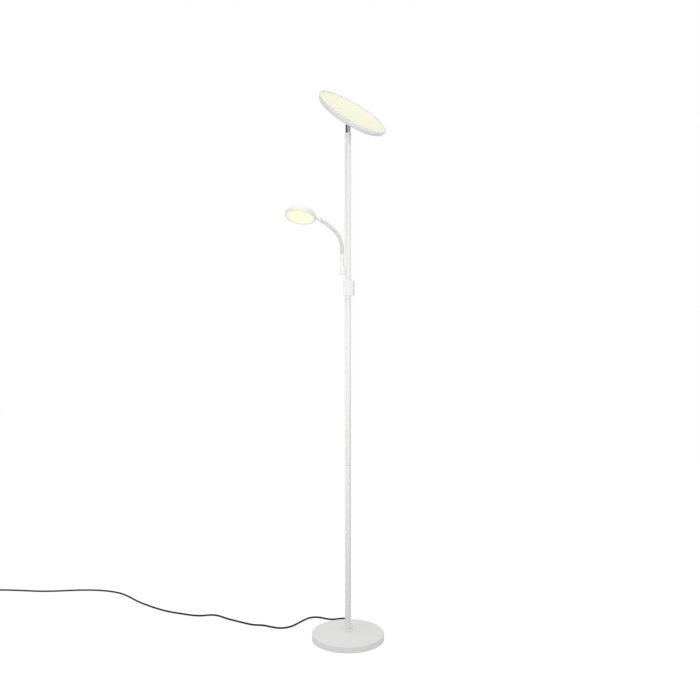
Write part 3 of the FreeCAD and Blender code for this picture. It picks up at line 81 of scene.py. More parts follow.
class LampColours(bpy.types.PropertyGroup):
    """Colours of the lamp's finishes."""

    enamel: FloatVectorProperty(
        name="Enamel",
        description="Powder coat on the base, the pole and both heads",
        subtype="COLOR",
        default=(0.83, 0.83, 0.825),
        min=0,
        max=1,
    )
    plastic: FloatVectorProperty(
        name="White plastic",
        description="Dimmer housing, knobs and trim rings",
        subtype="COLOR",
        default=(0.81, 0.81, 0.805),
        min=0,
        max=1,
    )
    sleeve: FloatVectorProperty(
        name="Arm sleeve",
        description="Soft sleeve of the flexible arm",
        subtype="COLOR",
        default=(0.67, 0.67, 0.665),
        min=0,
        max=1,
    )
    uplight: FloatVectorProperty(
        name="Uplight glow",
        description="Colour of the lit uplight diffuser",
        subtype="COLOR",
        default=(0.8, 0.79, 0.61),
        min=0,
        max=1,
    )
    reading: FloatVectorProperty(
        name="Reading glow",
        description="Colour of the lit reading diffuser",
        subtype="COLOR",
        default=(0.93, 0.94, 0.69),
        min=0,
        max=1,
    )


class LampSizes(bpy.types.PropertyGroup):
    """Sizes of the details that the scene adds."""

    rib_pitch: FloatProperty(
        name="Arm rib pitch",
        description="Distance from one rib of the flexible arm to the next",
        unit="LENGTH",
        default=2.6 * MM,
        min=0.5 * MM,
    )
    rib_depth: FloatProperty(
        name="Arm rib depth",
        description="Depth of the grooves between the arm's ribs",
        unit="LENGTH",
        default=0.28 * MM,
        min=0,
    )
    knob_flutes: IntProperty(
        name="Knob flutes",
        description="Grip ridges round each dimmer knob",
        default=40,
        min=8,
    )
    cord_diameter: FloatProperty(
        name="Lead diameter",
        description="Outside diameter of the mains lead",
        unit="LENGTH",
        default=6.0 * MM,
        min=1 * MM,
    )


# ---- nodes ----


def feed(tree, node, inputs):
    """Joins a node's inputs, by name or number, to other sockets, or gives them plain values."""
    for key, value in inputs.items():
        socket = node.inputs[key]
        if isinstance(value, bpy.types.NodeSocket):
            tree.links.new(value, socket)
        elif socket.type == "RGBA":
            socket.default_value = (*value[:3], 1)
        else:
            socket.default_value = value


def add_node(tree, kind, inputs=None, **settings):
    """A new node with its settings and its inputs."""
    node = tree.nodes.new(kind)
    for name, value in settings.items():
        setattr(node, name, value)
    feed(tree, node, inputs or {})
    return node


def find_node(tree, kind):
    """The first node of a kind."""
    return next(node for node in tree.nodes if node.type == kind)


def math_node(tree, operation, first, second=0.0, third=0.0, clamp=False):
    """A Math node's result, from sockets or numbers."""
    inputs = {0: first, 1: second, 2: third}
    node = add_node(tree, "ShaderNodeMath", inputs, operation=operation, use_clamp=clamp)
    return node.outputs[0]


def noise_node(tree, vector, scale, detail, roughness=0.5):
    """A Noise texture's plain value."""
    inputs = {"Vector": vector, "Scale": scale, "Detail": detail, "Roughness": roughness}
    return add_node(tree, "ShaderNodeTexNoise", inputs).outputs["Fac"]


def spread_node(tree, value, low, high, to_low, to_high):
    """A clamped Map Range node's result."""
    ends = {"From Min": low, "From Max": high, "To Min": to_low, "To Max": to_high}
    return add_node(tree, "ShaderNodeMapRange", {"Value": value, **ends}).outputs["Result"]


def mix_colour(tree, factor, first, second):
    """A mix of two colours, each of them a socket or a plain colour."""
    node = add_node(tree, "ShaderNodeMix", {"Factor": factor}, data_type="RGBA")
    colours = [index for index, socket in enumerate(node.inputs) if socket.type == "RGBA"]
    feed(tree, node, dict(zip(colours, (first, second))))
    return next(socket for socket in node.outputs if socket.type == "RGBA")


def new_group(name, kind, inputs, outputs):
    """An empty node group with named sockets, the sockets that it is given, and its end node."""
    tree = bpy.data.node_groups.new(name, kind)
    for label, socket_kind, *value in inputs:
        socket = tree.interface.new_socket(
            label, in_out="INPUT", socket_type=f"NodeSocket{socket_kind}"
        )
        if value:
            socket.default_value = value[0]
    for label, socket_kind in outputs:
        tree.interface.new_socket(label, in_out="OUTPUT", socket_type=f"NodeSocket{socket_kind}")
    return tree, tree.nodes.new("NodeGroupInput").outputs, tree.nodes.new("NodeGroupOutput")


def shared(maker):
    """What a maker builds, built the first time that it is asked for."""
    if maker not in SHARED:
        SHARED[maker] = maker()
    return SHARED[maker]


# ---- shader node groups ----


def grain_group():
    """Fine surface grain: a height, and a slow mottling of colour and roughness."""
    tree, given, end = new_group(
        "surface_grain",
        "ShaderNodeTree",
        [
            ("Vector", "Vector"),
            ("Colour", "Color", (0.8, 0.8, 0.8, 1)),
            ("Grain Scale", "Float", 900.0),
            ("Mottle Scale", "Float", 14.0),
            ("Mottle", "Float", 0.03),
            ("Roughness", "Float", 0.4),
            ("Roughness Spread", "Float", 0.08),
        ],
        [("Colour", "Color"), ("Roughness", "Float"), ("Height", "Float")],
    )
    fine = noise_node(tree, given["Vector"], given["Grain Scale"], 2.0)
    slow = noise_node(tree, given["Vector"], given["Mottle Scale"], 4.0)
    centred = math_node(tree, "SUBTRACT", slow, 0.5)
    shade = math_node(tree, "MULTIPLY", centred, given["Mottle"])
    level = math_node(tree, "ADD", shade, 1.0)
    mottled = add_node(
        tree, "ShaderNodeVectorMath", {0: given["Colour"], "Scale": level}, operation="SCALE"
    )
    change = math_node(tree, "MULTIPLY", centred, given["Roughness Spread"])
    rough = math_node(tree, "ADD", change, given["Roughness"], clamp=True)
    feed(tree, end, {"Colour": mottled.outputs["Vector"], "Roughness": rough, "Height": fine})
    return tree


def dust_group():
    """A thin veil of dust on the surfaces that face up, broken by noise."""
    tree, given, end = new_group(
        "settled_dust",
        "ShaderNodeTree",
        [
            ("Vector", "Vector"),
            ("Colour", "Color", (0.8, 0.8, 0.8, 1)),
            ("Roughness", "Float", 0.4),
            ("Dust", "Color", (0.62, 0.6, 0.56, 1)),
            ("Amount", "Float", 0.1),
        ],
        [("Colour", "Color"), ("Roughness", "Float")],
    )
    normal = add_node(tree, "ShaderNodeNewGeometry").outputs["Normal"]
    rise = add_node(tree, "ShaderNodeSeparateXYZ", {0: normal}).outputs["Z"]
    upward = spread_node(tree, rise, 0.55, 1.0, 0.0, 1.0)
    patches = noise_node(tree, given["Vector"], 60.0, 6.0, 0.65)
    broken = spread_node(tree, patches, 0.35, 0.7, 0.3, 1.0)
    cover = math_node(tree, "MULTIPLY", upward, broken)
    amount = math_node(tree, "MULTIPLY", cover, given["Amount"], clamp=True)
    colour = mix_colour(tree, amount, given["Colour"], given["Dust"])
    lift = math_node(tree, "MULTIPLY", amount, 0.6)
    rough = math_node(tree, "ADD", given["Roughness"], lift, clamp=True)
    feed(tree, end, {"Colour": colour, "Roughness": rough})
    return tree


def brushed_group():
    """Fine drawn lines round or along a metal piece, as roughness and height."""
    tree, given, end = new_group(
        "drawn_lines",
        "ShaderNodeTree",
        [
            ("Vector", "Vector"),
            ("Stretch", "Vector", (1.0, 1.0, 40.0)),
            ("Roughness", "Float", 0.2),
            ("Spread", "Float", 0.12),
        ],
        [("Roughness", "Float"), ("Height", "Float")],
    )
    vectors = {0: given["Vector"], 1: given["Stretch"]}
    stretch = add_node(tree, "ShaderNodeVectorMath", vectors, operation="MULTIPLY")
    lines = noise_node(tree, stretch.outputs[0], 220.0, 4.0, 0.6)
    change = math_node(tree, "MULTIPLY", lines, given["Spread"])
    rough = math_node(tree, "ADD", change, given["Roughness"], clamp=True)
    feed(tree, end, {"Roughness": rough, "Height": lines})
    return tree


def place_group(tree, maker, vector, **values):
    """A shared node group's outputs in a material, from a vector and its own values."""
    inputs = {label.replace("_", " "): value for label, value in values.items()}
    inputs["Vector"] = vector
    return add_node(tree, "ShaderNodeGroup", inputs, node_tree=shared(maker)).outputs


# ---- finishes ----

# The powder coat: roughness, grain scale, bump strength and mottle.
POWDER_COAT = (0.6, 1100.0, 0.03, 0.02)
POWDER_SPECULAR = 0.12
# How a metal's noise is squeezed, so that it makes fine rings round an axis or stays even.
RINGS_ROUND_Z = (1.0, 1.0, 40.0)
RINGS_ROUND_X = (40.0, 1.0, 1.0)
EVEN = (1.0, 1.0, 1.0)
RIM_TINT = (0.97, 0.965, 0.93)
# Painted shadow: the grey of the thin line painted where two pole sections meet, for the shade in
# the joint's gap.
SEAM_SHADOW_GREY = (0.4, 0.4, 0.4)


def new_material(name):
    """A new material, its tree, its Principled shader and its Object coordinates."""
    material = bpy.data.materials.new(name)
    material.use_nodes = True
    tree = material.node_tree
    place = add_node(tree, "ShaderNodeTexCoord").outputs["Object"]
    return material, tree, find_node(tree, "BSDF_PRINCIPLED"), place


def add_bump(tree, shader, height, strength, distance):
    """A Bump node between a height and the shader's normal; distance is in millimetres."""
    inputs = {"Height": height, "Strength": strength, "Distance": distance * MM}
    bump = add_node(tree, "ShaderNodeBump", inputs)
    feed(tree, shader, {"Normal": bump.outputs["Normal"]})


def grained(
    name, colour, roughness, grain, bump, mottle, depth=0.05, dust=0.0, coat=0.0, specular=0.5
):
    """A finish of fine grain, slow mottling and, where it lies open, a little dust."""
    material, tree, shader, place = new_material(name)
    look = place_group(
        tree,
        grain_group,
        place,
        Colour=colour,
        Grain_Scale=grain,
        Mottle=mottle,
        Roughness=roughness,
    )
    add_bump(tree, shader, look["Height"], bump, depth)
    if dust:
        under = {"Colour": look["Colour"], "Roughness": look["Roughness"]}
        look = place_group(tree, dust_group, place, Amount=dust, **under)
    inputs = {
        "Base Color": look["Colour"],
        "Roughness": look["Roughness"],
        "Coat Weight": coat,
        "Coat Roughness": 0.12,
        "Specular IOR Level": specular,
    }
    feed(tree, shader, inputs)
    return material


def drawn_metal(name, colour, roughness, spread=0.12, stretch=RINGS_ROUND_Z):
    """A bright metal with fine turning or drawing lines and slow, slightly darker stains."""
    material, tree, shader, place = new_material(name)
    lines = place_group(
        tree, brushed_group, place, Stretch=stretch, Roughness=roughness, Spread=spread
    )
    stain = spread_node(tree, noise_node(tree, place, 35.0, 4.0), 0.3, 0.7, 0.0, 1.0)
    stained = mix_colour(tree, stain, colour, [value * 0.9 for value in colour])
    feed(tree, shader, {"Base Color": stained, "Roughness": lines["Roughness"], "Metallic": 1.0})
    add_bump(tree, shader, lines["Height"], 0.08, 0.02)
    return material


def glowing(name, colour, radius, middle):
    """An opal diffuser lit from behind: even, a little dimmer and deeper towards its rim."""
    material, tree, shader, place = new_material(name)
    apart = add_node(tree, "ShaderNodeVectorMath", {0: place, 1: middle}, operation="DISTANCE")
    edge = radius * MM
    falloff = spread_node(tree, apart.outputs["Value"], edge * 0.7, edge, 0.0, 1.0)
    clouds = spread_node(tree, noise_node(tree, place, 25.0, 2.0), 0.3, 0.7, 0.0, 0.12)
    mask = math_node(tree, "ADD", math_node(tree, "MULTIPLY", falloff, 0.8), clouds, clamp=True)
    deep = [value * tint for value, tint in zip(colour, RIM_TINT)]
    inputs = {
        "Base Color": mix_colour(tree, mask, (0.03, 0.03, 0.026), (0.04, 0.04, 0.034)),
        "Emission Color": mix_colour(tree, mask, colour, deep),
        "Emission Strength": 1.0,
        "Specular IOR Level": 0.15,
        "Roughness": 0.45,
    }
    feed(tree, shader, inputs)
    add_bump(tree, shader, noise_node(tree, place, 700.0, 2.0), 0.05, 0.03)
    return material


def pole_enamel(colour):
    """The pole's powder coat, with a fine painted shadow line where two tube sections meet."""
    material = grained("pole_enamel", colour, *POWDER_COAT, specular=POWDER_SPECULAR)
    tree = material.node_tree
    shader = find_node(tree, "BSDF_PRINCIPLED")
    place = find_node(tree, "TEX_COORD").outputs["Object"]
    height = add_node(tree, "ShaderNodeSeparateXYZ", {0: place}).outputs["Z"]
    seams = [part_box(section)[0][2] for section in ("pole_middle", "pole_upper")]
    offsets = [math_node(tree, "SUBTRACT", height, seam) for seam in seams]
    nearest = math_node(
        tree, "MINIMUM", *(math_node(tree, "ABSOLUTE", offset) for offset in offsets)
    )
    # The painted shadow line, a fraction of a millimetre wide, at each joint of the pole's
    # sections.
    line = spread_node(tree, nearest, 0.25 * MM, 0.5 * MM, 1.0, 0.0)
    painted = shader.inputs["Base Color"].links[0].from_socket
    feed(tree, shader, {"Base Color": mix_colour(tree, line, painted, SEAM_SHADOW_GREY)})
    return material


def make_finishes(colours):
    """Every material of the lamp, by a plain name.

    The numbers of a grained finish are its roughness, grain scale, bump strength and mottle.
    """
    enamel = tuple(colours.enamel)
    plastic = tuple(colours.plastic)
    sleeve = tuple(colours.sleeve)
    uplight_middle = head_place() @ Vector((0, 0, 34 * MM))
    reading_middle = reading_place() @ Vector((0, 0, -7 * MM))
    FINISHES.update(
        enamel=grained("white_enamel", enamel, *POWDER_COAT, specular=POWDER_SPECULAR),
        base_enamel=grained(
            "base_enamel", enamel, 0.55, 900.0, 0.06, 0.03, dust=0.05, specular=0.3
        ),
        pole=pole_enamel(enamel),
        plastic=grained("white_plastic", plastic, 0.35, 1500.0, 0.08, 0.02, specular=0.25),
        ring=grained("ring_plastic", plastic, 0.38, 1500.0, 0.08, 0.015),
        sleeve=grained("arm_sleeve", sleeve, 0.5, 1400.0, 0.15, 0.04),
        lead=grained(
            "lead_sheath", (0.005, 0.005, 0.0055), 0.6, 1600.0, 0.2, 0.2, specular=0.2
        ),
        black=grained("black_moulding", (0.018, 0.018, 0.02), 0.45, 2200.0, 0.35, 0.15),
        rubber=grained("pad_rubber", (0.06, 0.06, 0.062), 0.8, 1200.0, 0.4, 0.2),
        iron=grained("cast_iron", (0.06, 0.06, 0.065), 0.7, 500.0, 0.6, 0.3, depth=0.3),
        zinc=drawn_metal("zinc_plate", (0.62, 0.63, 0.66), 0.28, stretch=EVEN),
        chrome=drawn_metal("chrome_plate", (0.72, 0.73, 0.75), 0.07, spread=0.05),
        brass=drawn_metal("turned_brass", (0.72, 0.52, 0.24), 0.25),
        nickel=drawn_metal("nickel_plate", (0.68, 0.67, 0.64), 0.16, stretch=RINGS_ROUND_X),
        aluminium=drawn_metal("plain_aluminium", (0.74, 0.75, 0.77), 0.35, spread=0.2),
        nylon=grained("natural_nylon", (0.78, 0.77, 0.7), 0.4, 800.0, 0.12, 0.06),
        board=grained("white_board", (0.82, 0.82, 0.8), 0.35, 1800.0, 0.12, 0.05),
        green=grained("green_board", (0.03, 0.16, 0.06), 0.3, 1800.0, 0.12, 0.25, coat=0.4),
        uplight=glowing("lit_uplight", tuple(colours.uplight), 120, uplight_middle),
        reading=glowing("lit_reading", tuple(colours.reading), 47, reading_middle),
    )


# ---- frames of the two heads ----

HEAD_TILT = 42.5
NECK_PITCH = -8.5
NECK_ROLL = 17.5
READING_MIDDLE = (58 * MM, 0, 3.2 * MM)


def turned(degrees, axis):
    """A turn round one of the frame's axes."""
    return Matrix.Rotation(math.radians(degrees), 4, axis)


def head_place():
    """The uplight head's own frame: its origin on the tilt pivot, +Z out of the dish."""
    pivot = Vector(JOINTS["uplight_tilt"]["pos_m"])
    across = JOINTS["uplight_tilt"]["axis"]
    azimuth = math.degrees(math.atan2(-across[0], across[1]))
    return Matrix.Translation(pivot) @ turned(azimuth, "Z") @ turned(HEAD_TILT, "Y")


def reading_place():
    """The reading head's own frame: its disc's middle, +X off the neck, +Z out of its back."""
    elbow = Matrix.Translation(Vector(JOINTS["reading_head_roll"]["pos_m"]))
    neck = elbow @ turned(180, "Z") @ turned(NECK_PITCH, "Y") @ turned(NECK_ROLL, "X")
    return neck @ Matrix.Translation(READING_MIDDLE)


# ---- mesh helpers ----

CORNER_STEPS = 5
WELD = 1e-6


def new_object(name, data):
    """A new object in the scene."""
    piece = bpy.data.objects.new(name, data)
    bpy.context.scene.collection.objects.link(piece)
    return piece


def mesh_piece(name, bm, place=None):
    """An object from a bmesh, with its place put into the mesh."""
    mesh = bpy.data.meshes.new(name)
    bm.to_mesh(mesh)
    bm.free()
    if place is not None:
        mesh.transform(place)
    return new_object(name, mesh)


def finish_mesh(piece, finish, body=None, sharp=38):
    """Smooth shading up to an angle, a finish, and the body that the piece rides on."""
    piece.data.shade_smooth()
    piece.data.set_sharp_from_angle(angle=math.radians(sharp))
    piece.data.materials.clear()
    piece.data.materials.append(FINISHES[finish])
    if body:
        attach(piece, body)
    return piece


def take_in(bm, other):
    """Moves the faces of another bmesh into this one."""
    part = bpy.data.meshes.new("part")
    other.to_mesh(part)
    other.free()
    bm.from_mesh(part)
    bpy.data.meshes.remove(part)


def rounded(corners, closed):
    """An outline through (x, z) or (x, z, radius) corners, as points in metres."""
    points = []
    count = len(corners)
    for index, corner in enumerate(corners):
        at = Vector(corner[:2])
        radius = corner[2] if len(corner) > 2 else 0
        end = not closed and index in (0, count - 1)
        if radius <= 0 or end:
            points.append(at)
            continue
        back = (Vector(corners[index - 1][:2]) - at).normalized()
        on = (Vector(corners[(index + 1) % count][:2]) - at).normalized()
        half = back.angle(on) / 2
        reach = radius / math.tan(half)
        middle = at + (back + on).normalized() * (radius / math.sin(half))
        start = at + back * reach - middle
        turn = start.angle_signed(at + on * reach - middle)
        for step in range(CORNER_STEPS + 1):
            arm = start.copy()
            arm.rotate(Matrix.Rotation(-turn * step / CORNER_STEPS, 2))
            points.append(middle + arm)
    return [point * MM for point in points]


def lathe_mesh(corners, segments):
    """A bmesh turned round +Z; an outline that starts off the axis is closed to a ring."""
    closed = corners[0][0] > 0
    bm = bmesh.new()
    verts = [bm.verts.new((x, 0, z)) for x, z in rounded(corners, closed)]
    edges = [bm.edges.new(pair) for pair in zip(verts, verts[1:])]
    if closed:
        edges.append(bm.edges.new((verts[-1], verts[0])))
    bmesh.ops.spin(
        bm,
        geom=verts + edges,
        angle=2 * math.pi,
        steps=segments,
        axis=(0, 0, 1),
        cent=(0, 0, 0),
    )
    bmesh.ops.remove_doubles(bm, verts=bm.verts, dist=WELD)
    bmesh.ops.recalc_face_normals(bm, faces=bm.faces)
    return bm


def lathe(name, node, finish, body, corners, segments, place=None):
    """A turned piece that stands for a node of the frame."""
    piece = mesh_piece(name, lathe_mesh(corners, segments), place)
    finish_mesh(piece, finish, body)
    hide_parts(node)
    return piece


def tube_corners(outer, inner, bottom, top, edge):
    """The outline of a tube wall with its outer edges just broken."""
    return [(inner, bottom), (outer, bottom, edge), (outer, top, edge), (inner, top)]


def heights(node):
    """The lowest and highest points of a frame node, in millimetres."""
    return [corner[2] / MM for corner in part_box(node)]


def dress(finish, *nodes):
    """Gives frame nodes a finish."""
    for name in nodes:
        piece = frame["nodes"][name]
        piece.data.materials.clear()
        piece.data.materials.append(FINISHES[finish])


# ---- screws ----

SOLID_WELD = 5e-6
CROSS_LENGTH = 1.15
CROSS_WIDTH = 0.24


def solid_boxes(node):
    """The low and high corners of each separate solid of a frame node."""
    source = frame["nodes"][node]
    bm = bmesh.new()
    bm.from_mesh(source.data)
    bm.transform(source.matrix_world)
    bmesh.ops.remove_doubles(bm, verts=bm.verts, dist=SOLID_WELD)
    left = set(bm.verts)
    boxes = []
    while left:
        edge = [left.pop()]
        points = []
        while edge:
            vert = edge.pop()
            points.append(vert.co.copy())
            for link in vert.link_edges:
                other = link.other_vert(vert)
                if other in left:
                    left.discard(other)
                    edge.append(other)
        low = Vector([min(point[axis] for point in points) for axis in range(3)])
        high = Vector([max(point[axis] for point in points) for axis in range(3)])
        boxes.append((low, high))
    bm.free()
    return boxes


def screw_mesh(name, head, head_height, shank, length):
    """A pan head screw, its head's face at the origin towards +Z, with a cross recess."""
    corners = [
        (0, -length),
        (shank * 0.7, -length),
        (shank, -length + shank * 0.4),
        (shank, -head_height),
        (head, -head_height, 0.15),
        (head, 0, head_height * 0.35),
        (0, 0),
    ]
    body = mesh_piece(name, lathe_mesh(corners, 40))
    cross = bmesh.new()
    size = Vector((head * CROSS_LENGTH, head * CROSS_WIDTH, head_height)) * MM
    for turn in (0, math.pi / 2):
        bar = bmesh.ops.create_cube(cross, size=1)["verts"]
        bmesh.ops.scale(cross, vec=size, verts=bar)
        bmesh.ops.rotate(cross, matrix=Matrix.Rotation(turn, 3, "Z"), verts=bar)
    cutter = mesh_piece(f"{name}_cross", cross)
    carve = body.modifiers.new("cross", "BOOLEAN")
    carve.operation = "DIFFERENCE"
    carve.solver = "EXACT"
    carve.use_self = True
    carve.object = cutter
    body = made_plain(body)
    bpy.data.objects.remove(cutter, do_unlink=True)
    return body


def set_screws(node, facing, head, head_height, shank):
    """Zinc screws with a cross recess in place of a node's plain ones, heads towards facing."""
    facing = Vector(facing)
    middles = []
    lengths = []
    for low, high in solid_boxes(node):
        middles.append((low + high) / 2)
        lengths.append(abs((high - low).dot(facing)))
    heads = [middle + facing * length / 2 for middle, length in zip(middles, lengths)]
    spots = bpy.data.meshes.new(f"{node}_spots")
    spots.from_pydata(heads, [], [])
    stored = spots.attributes.new("facing", "FLOAT_VECTOR", "POINT")
    stored.data.foreach_set("vector", [*facing] * len(heads))
    holder = new_object(f"{node}_set", spots)
    pattern = screw_mesh(f"{node}_pattern", head, head_height, shank, max(lengths) / MM)
    values = {"Piece": pattern, "Material": FINISHES["zinc"]}
    screws = apply_tree(holder, copies_tree, values)
    bpy.data.objects.remove(pattern, do_unlink=True)
    finish_mesh(screws, "zinc", "stand")
    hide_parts(node)


# ---- geometry node trees ----

STEPS_PER_RIB = 6.0
SLEEVE_SIDES = 36
FLUTE_SIDES = 8


def new_tree(name, inputs):
    """A geometry node tree with named inputs, the sockets that it is given, and its end node."""
    geometry = ("Geometry", "Geometry")
    return new_group(name, "GeometryNodeTree", [geometry, *inputs], [geometry])


def finish_tree(tree, geometry, given, end):
    """Realize Instances and Set Material at the end of a tree."""
    real = add_node(tree, "GeometryNodeRealizeInstances", {"Geometry": geometry})
    inputs = {"Geometry": real.outputs["Geometry"], "Material": given["Material"]}
    paint = add_node(tree, "GeometryNodeSetMaterial", inputs)
    feed(tree, end, {"Geometry": paint.outputs["Geometry"]})


def apply_tree(piece, maker, values):
    """Runs a shared geometry node tree on an object and keeps the result as its plain mesh."""
    tree = shared(maker)
    modifier = piece.modifiers.new("shape", "NODES")
    modifier.node_group = tree
    sockets = {item.name: item.identifier for item in tree.interface.items_tree}
    for label, value in values.items():
        modifier[sockets[label]] = value
    return made_plain(piece)


def made_plain(piece):
    """Replaces an object with a plain mesh object of its evaluated shape."""
    graph = bpy.context.evaluated_depsgraph_get()
    graph.update()
    name = piece.name
    mesh = bpy.data.meshes.new_from_object(piece.evaluated_get(graph), depsgraph=graph)
    bpy.data.objects.remove(piece, do_unlink=True)
    return new_object(name, mesh)


def ribbed_tree():
    """A ribbed tube along a curve: a round profile, its radius rising and falling with length."""
    tree, given, end = new_tree(
        "ribbed_sleeve",
        [
            ("Radius", "Float"),
            ("Rib Pitch", "Float"),
            ("Rib Depth", "Float"),
            ("Start", "Float"),
            ("Material", "Material"),
        ],
    )
    step = math_node(tree, "DIVIDE", given["Rib Pitch"], STEPS_PER_RIB)
    inputs = {"Curve": given["Geometry"], "Length": step}
    fine = add_node(tree, "GeometryNodeResampleCurve", inputs, mode="LENGTH")
    along = add_node(tree, "GeometryNodeSplineParameter")
    inputs = {
        "Geometry": fine.outputs["Curve"],
        "Name": "along",
        "Value": along.outputs["Length"],
    }
    keep = add_node(
        tree, "GeometryNodeStoreNamedAttribute", inputs, data_type="FLOAT", domain="POINT"
    )
    inputs = {"Resolution": SLEEVE_SIDES, "Radius": given["Radius"]}
    ring = add_node(tree, "GeometryNodeCurvePrimitiveCircle", inputs)
    inputs = {"Curve": keep.outputs["Geometry"], "Profile Curve": ring.outputs["Curve"]}
    sweep = add_node(tree, "GeometryNodeCurveToMesh", inputs)
    kept = add_node(
        tree, "GeometryNodeInputNamedAttribute", {"Name": "along"}, data_type="FLOAT"
    )
    phase = math_node(tree, "ADD", kept.outputs["Attribute"], given["Start"])
    turns = math_node(tree, "DIVIDE", phase, given["Rib Pitch"])
    wave = math_node(tree, "COSINE", math_node(tree, "MULTIPLY", turns, 2 * math.pi))
    lower = math_node(tree, "MULTIPLY_ADD", wave, 0.5, -0.5)
    depth = math_node(tree, "MULTIPLY", lower, given["Rib Depth"])
    normal = add_node(tree, "GeometryNodeInputNormal").outputs["Normal"]
    inward = add_node(
        tree, "ShaderNodeVectorMath", {0: normal, "Scale": depth}, operation="SCALE"
    )
    inputs = {"Geometry": sweep.outputs["Mesh"], "Offset": inward.outputs["Vector"]}
    move = add_node(tree, "GeometryNodeSetPosition", inputs)
    finish_tree(tree, move.outputs["Geometry"], given, end)
    return tree


def flute_tree():
    """Grip ridges in a ring: a small rounded bar repeated round +Z."""
    tree, given, end = new_tree(
        "grip_flutes",
        [
            ("Count", "Int"),
            ("Ring Radius", "Float"),
            ("Height", "Float"),
            ("Bar Radius", "Float"),
            ("Material", "Material"),
        ],
    )
    inputs = {"Resolution": given["Count"], "Radius": given["Ring Radius"]}
    ring = add_node(tree, "GeometryNodeCurvePrimitiveCircle", inputs).outputs["Curve"]
    points = add_node(tree, "GeometryNodeCurveToPoints", {"Curve": ring}, mode="EVALUATED")
    inputs = {"Vertices": FLUTE_SIDES, "Radius": given["Bar Radius"], "Depth": given["Height"]}
    bar = add_node(tree, "GeometryNodeMeshCylinder", inputs)
    inputs = {"Points": points.outputs["Points"], "Instance": bar.outputs["Mesh"]}
    bars = add_node(tree, "GeometryNodeInstanceOnPoints", inputs)
    finish_tree(tree, bars.outputs["Instances"], given, end)
    return tree


def copies_tree():
    """Copies of one mesh on the points of another, turned by each point's stored direction."""
    tree, given, end = new_tree(
        "placed_copies", [("Piece", "Object"), ("Material", "Material")]
    )
    info = add_node(tree, "GeometryNodeObjectInfo", {"Object": given["Piece"]})
    facing = add_node(
        tree, "GeometryNodeInputNamedAttribute", {"Name": "facing"}, data_type="FLOAT_VECTOR"
    )
    turn = add_node(
        tree,
        "FunctionNodeAlignRotationToVector",
        {"Vector": facing.outputs["Attribute"]},
        axis="Z",
    )
    inputs = {
        "Points": given["Geometry"],
        "Instance": info.outputs["Geometry"],
        "Rotation": turn.outputs["Rotation"],
    }
    copies = add_node(tree, "GeometryNodeInstanceOnPoints", inputs)
    finish_tree(tree, copies.outputs["Instances"], given, end)
    return tree


# ---- stage ----

CAMERA_SPOT = (0.0065, -2.363, 0.941)
CAMERA_LENS = 37.3
FLOOR_DROP = 0.0004
FLOOR_REACH = 9
WORLD_LEVEL = 0.55
# Each lamp's place and target in metres, its side, its power in watts and its beam in degrees.
LAMPS = {
    "key_light": ((-1.0, -1.45, 1.02), (0, 0, 0.86), 0.8, 2.0, 66),
    "fill_light": ((2.2, -1.5, 1.7), (0, 0, 1.25), 1.2, 2.4, 56),
    "top_light": ((-0.7, -0.7, 8.0), (0, 0, 0), 4.2, 188, 180),
    "head_light": ((-0.5, -2.1, 1.6), (0, 0, 1.8), 0.6, 0.5, 36),
}
CARD_SIDES = {"flag_left": -1.0, "flag_right": 1.0}
# The corners of each card in metres, as (y, z).
CARD_CORNERS = [(-1.9, 1.75), (0.5, 1.75), (0.5, 2.6), (-1.9, 2.6)]


class LampStage(bpy.types.Operator):
    """Lays the floor and sets the lamps, the surroundings and the camera."""

    bl_idname = "torchiere.stage"
    bl_label = "Stage"

    def execute(self, context):
        scene = context.scene
        scene.view_settings.view_transform = "Standard"
        camera = bpy.data.cameras.new("camera")
        camera.lens = CAMERA_LENS
        camera.sensor_width = 36
        camera.clip_end = 50
        view = new_object("camera", camera)
        view.location = CAMERA_SPOT
        view.rotation_euler = (math.pi / 2, 0, 0)
        scene.camera = view

        bm = bmesh.new()
        bmesh.ops.create_grid(bm, x_segments=8, y_segments=8, size=FLOOR_REACH)
        floor = mesh_piece("floor", bm, Matrix.Translation((0, 0, -FLOOR_DROP)))
        floor.data.materials.append(floor_finish())
        add_world(scene)
        for name, settings in LAMPS.items():
            add_lamp(name, *settings)
        add_flags()
        return {"FINISHED"}


def seen_directly(tree):
    """A mask of the rays that show a surface as it is: camera, reflection and see-through rays."""
    path = add_node(tree, "ShaderNodeLightPath").outputs
    seen = math_node(tree, "MAXIMUM", path["Is Camera Ray"], path["Is Glossy Ray"])
    return math_node(tree, "MAXIMUM", seen, path["Is Transmission Ray"])


def floor_finish():
    """A pale floor that shows as white to the camera and still takes a faint shadow."""
    material, tree, shader, _ = new_material("pale_floor")
    grey = {"Base Color": (0.8, 0.8, 0.8), "Roughness": 0.9, "Specular IOR Level": 0.0}
    feed(tree, shader, grey)
    shade = add_node(tree, "ShaderNodeBsdfDiffuse", {"Color": (0.16, 0.16, 0.16)})
    glow = add_node(tree, "ShaderNodeEmission", {"Strength": 0.9})
    both = add_node(tree, "ShaderNodeAddShader", {0: shade.outputs[0], 1: glow.outputs[0]})
    inputs = {0: seen_directly(tree), 1: shader.outputs[0], 2: both.outputs[0]}
    mix = add_node(tree, "ShaderNodeMixShader", inputs)
    feed(tree, find_node(tree, "OUTPUT_MATERIAL"), {"Surface": mix.outputs[0]})
    return material


def add_world(scene):
    """Soft light from all round, seen as white by the camera and in reflections."""
    world = bpy.data.worlds.new("soft_surroundings")
    world.use_nodes = True
    scene.world = world
    tree = world.node_tree
    soft = find_node(tree, "BACKGROUND")
    feed(tree, soft, {"Color": (1, 1, 1), "Strength": WORLD_LEVEL})
    white = add_node(tree, "ShaderNodeBackground", {"Color": (1, 1, 1), "Strength": 1.0})
    inputs = {0: seen_directly(tree), 1: soft.outputs[0], 2: white.outputs[0]}
    mix = add_node(tree, "ShaderNodeMixShader", inputs)
    feed(tree, find_node(tree, "OUTPUT_WORLD"), {"Surface": mix.outputs[0]})


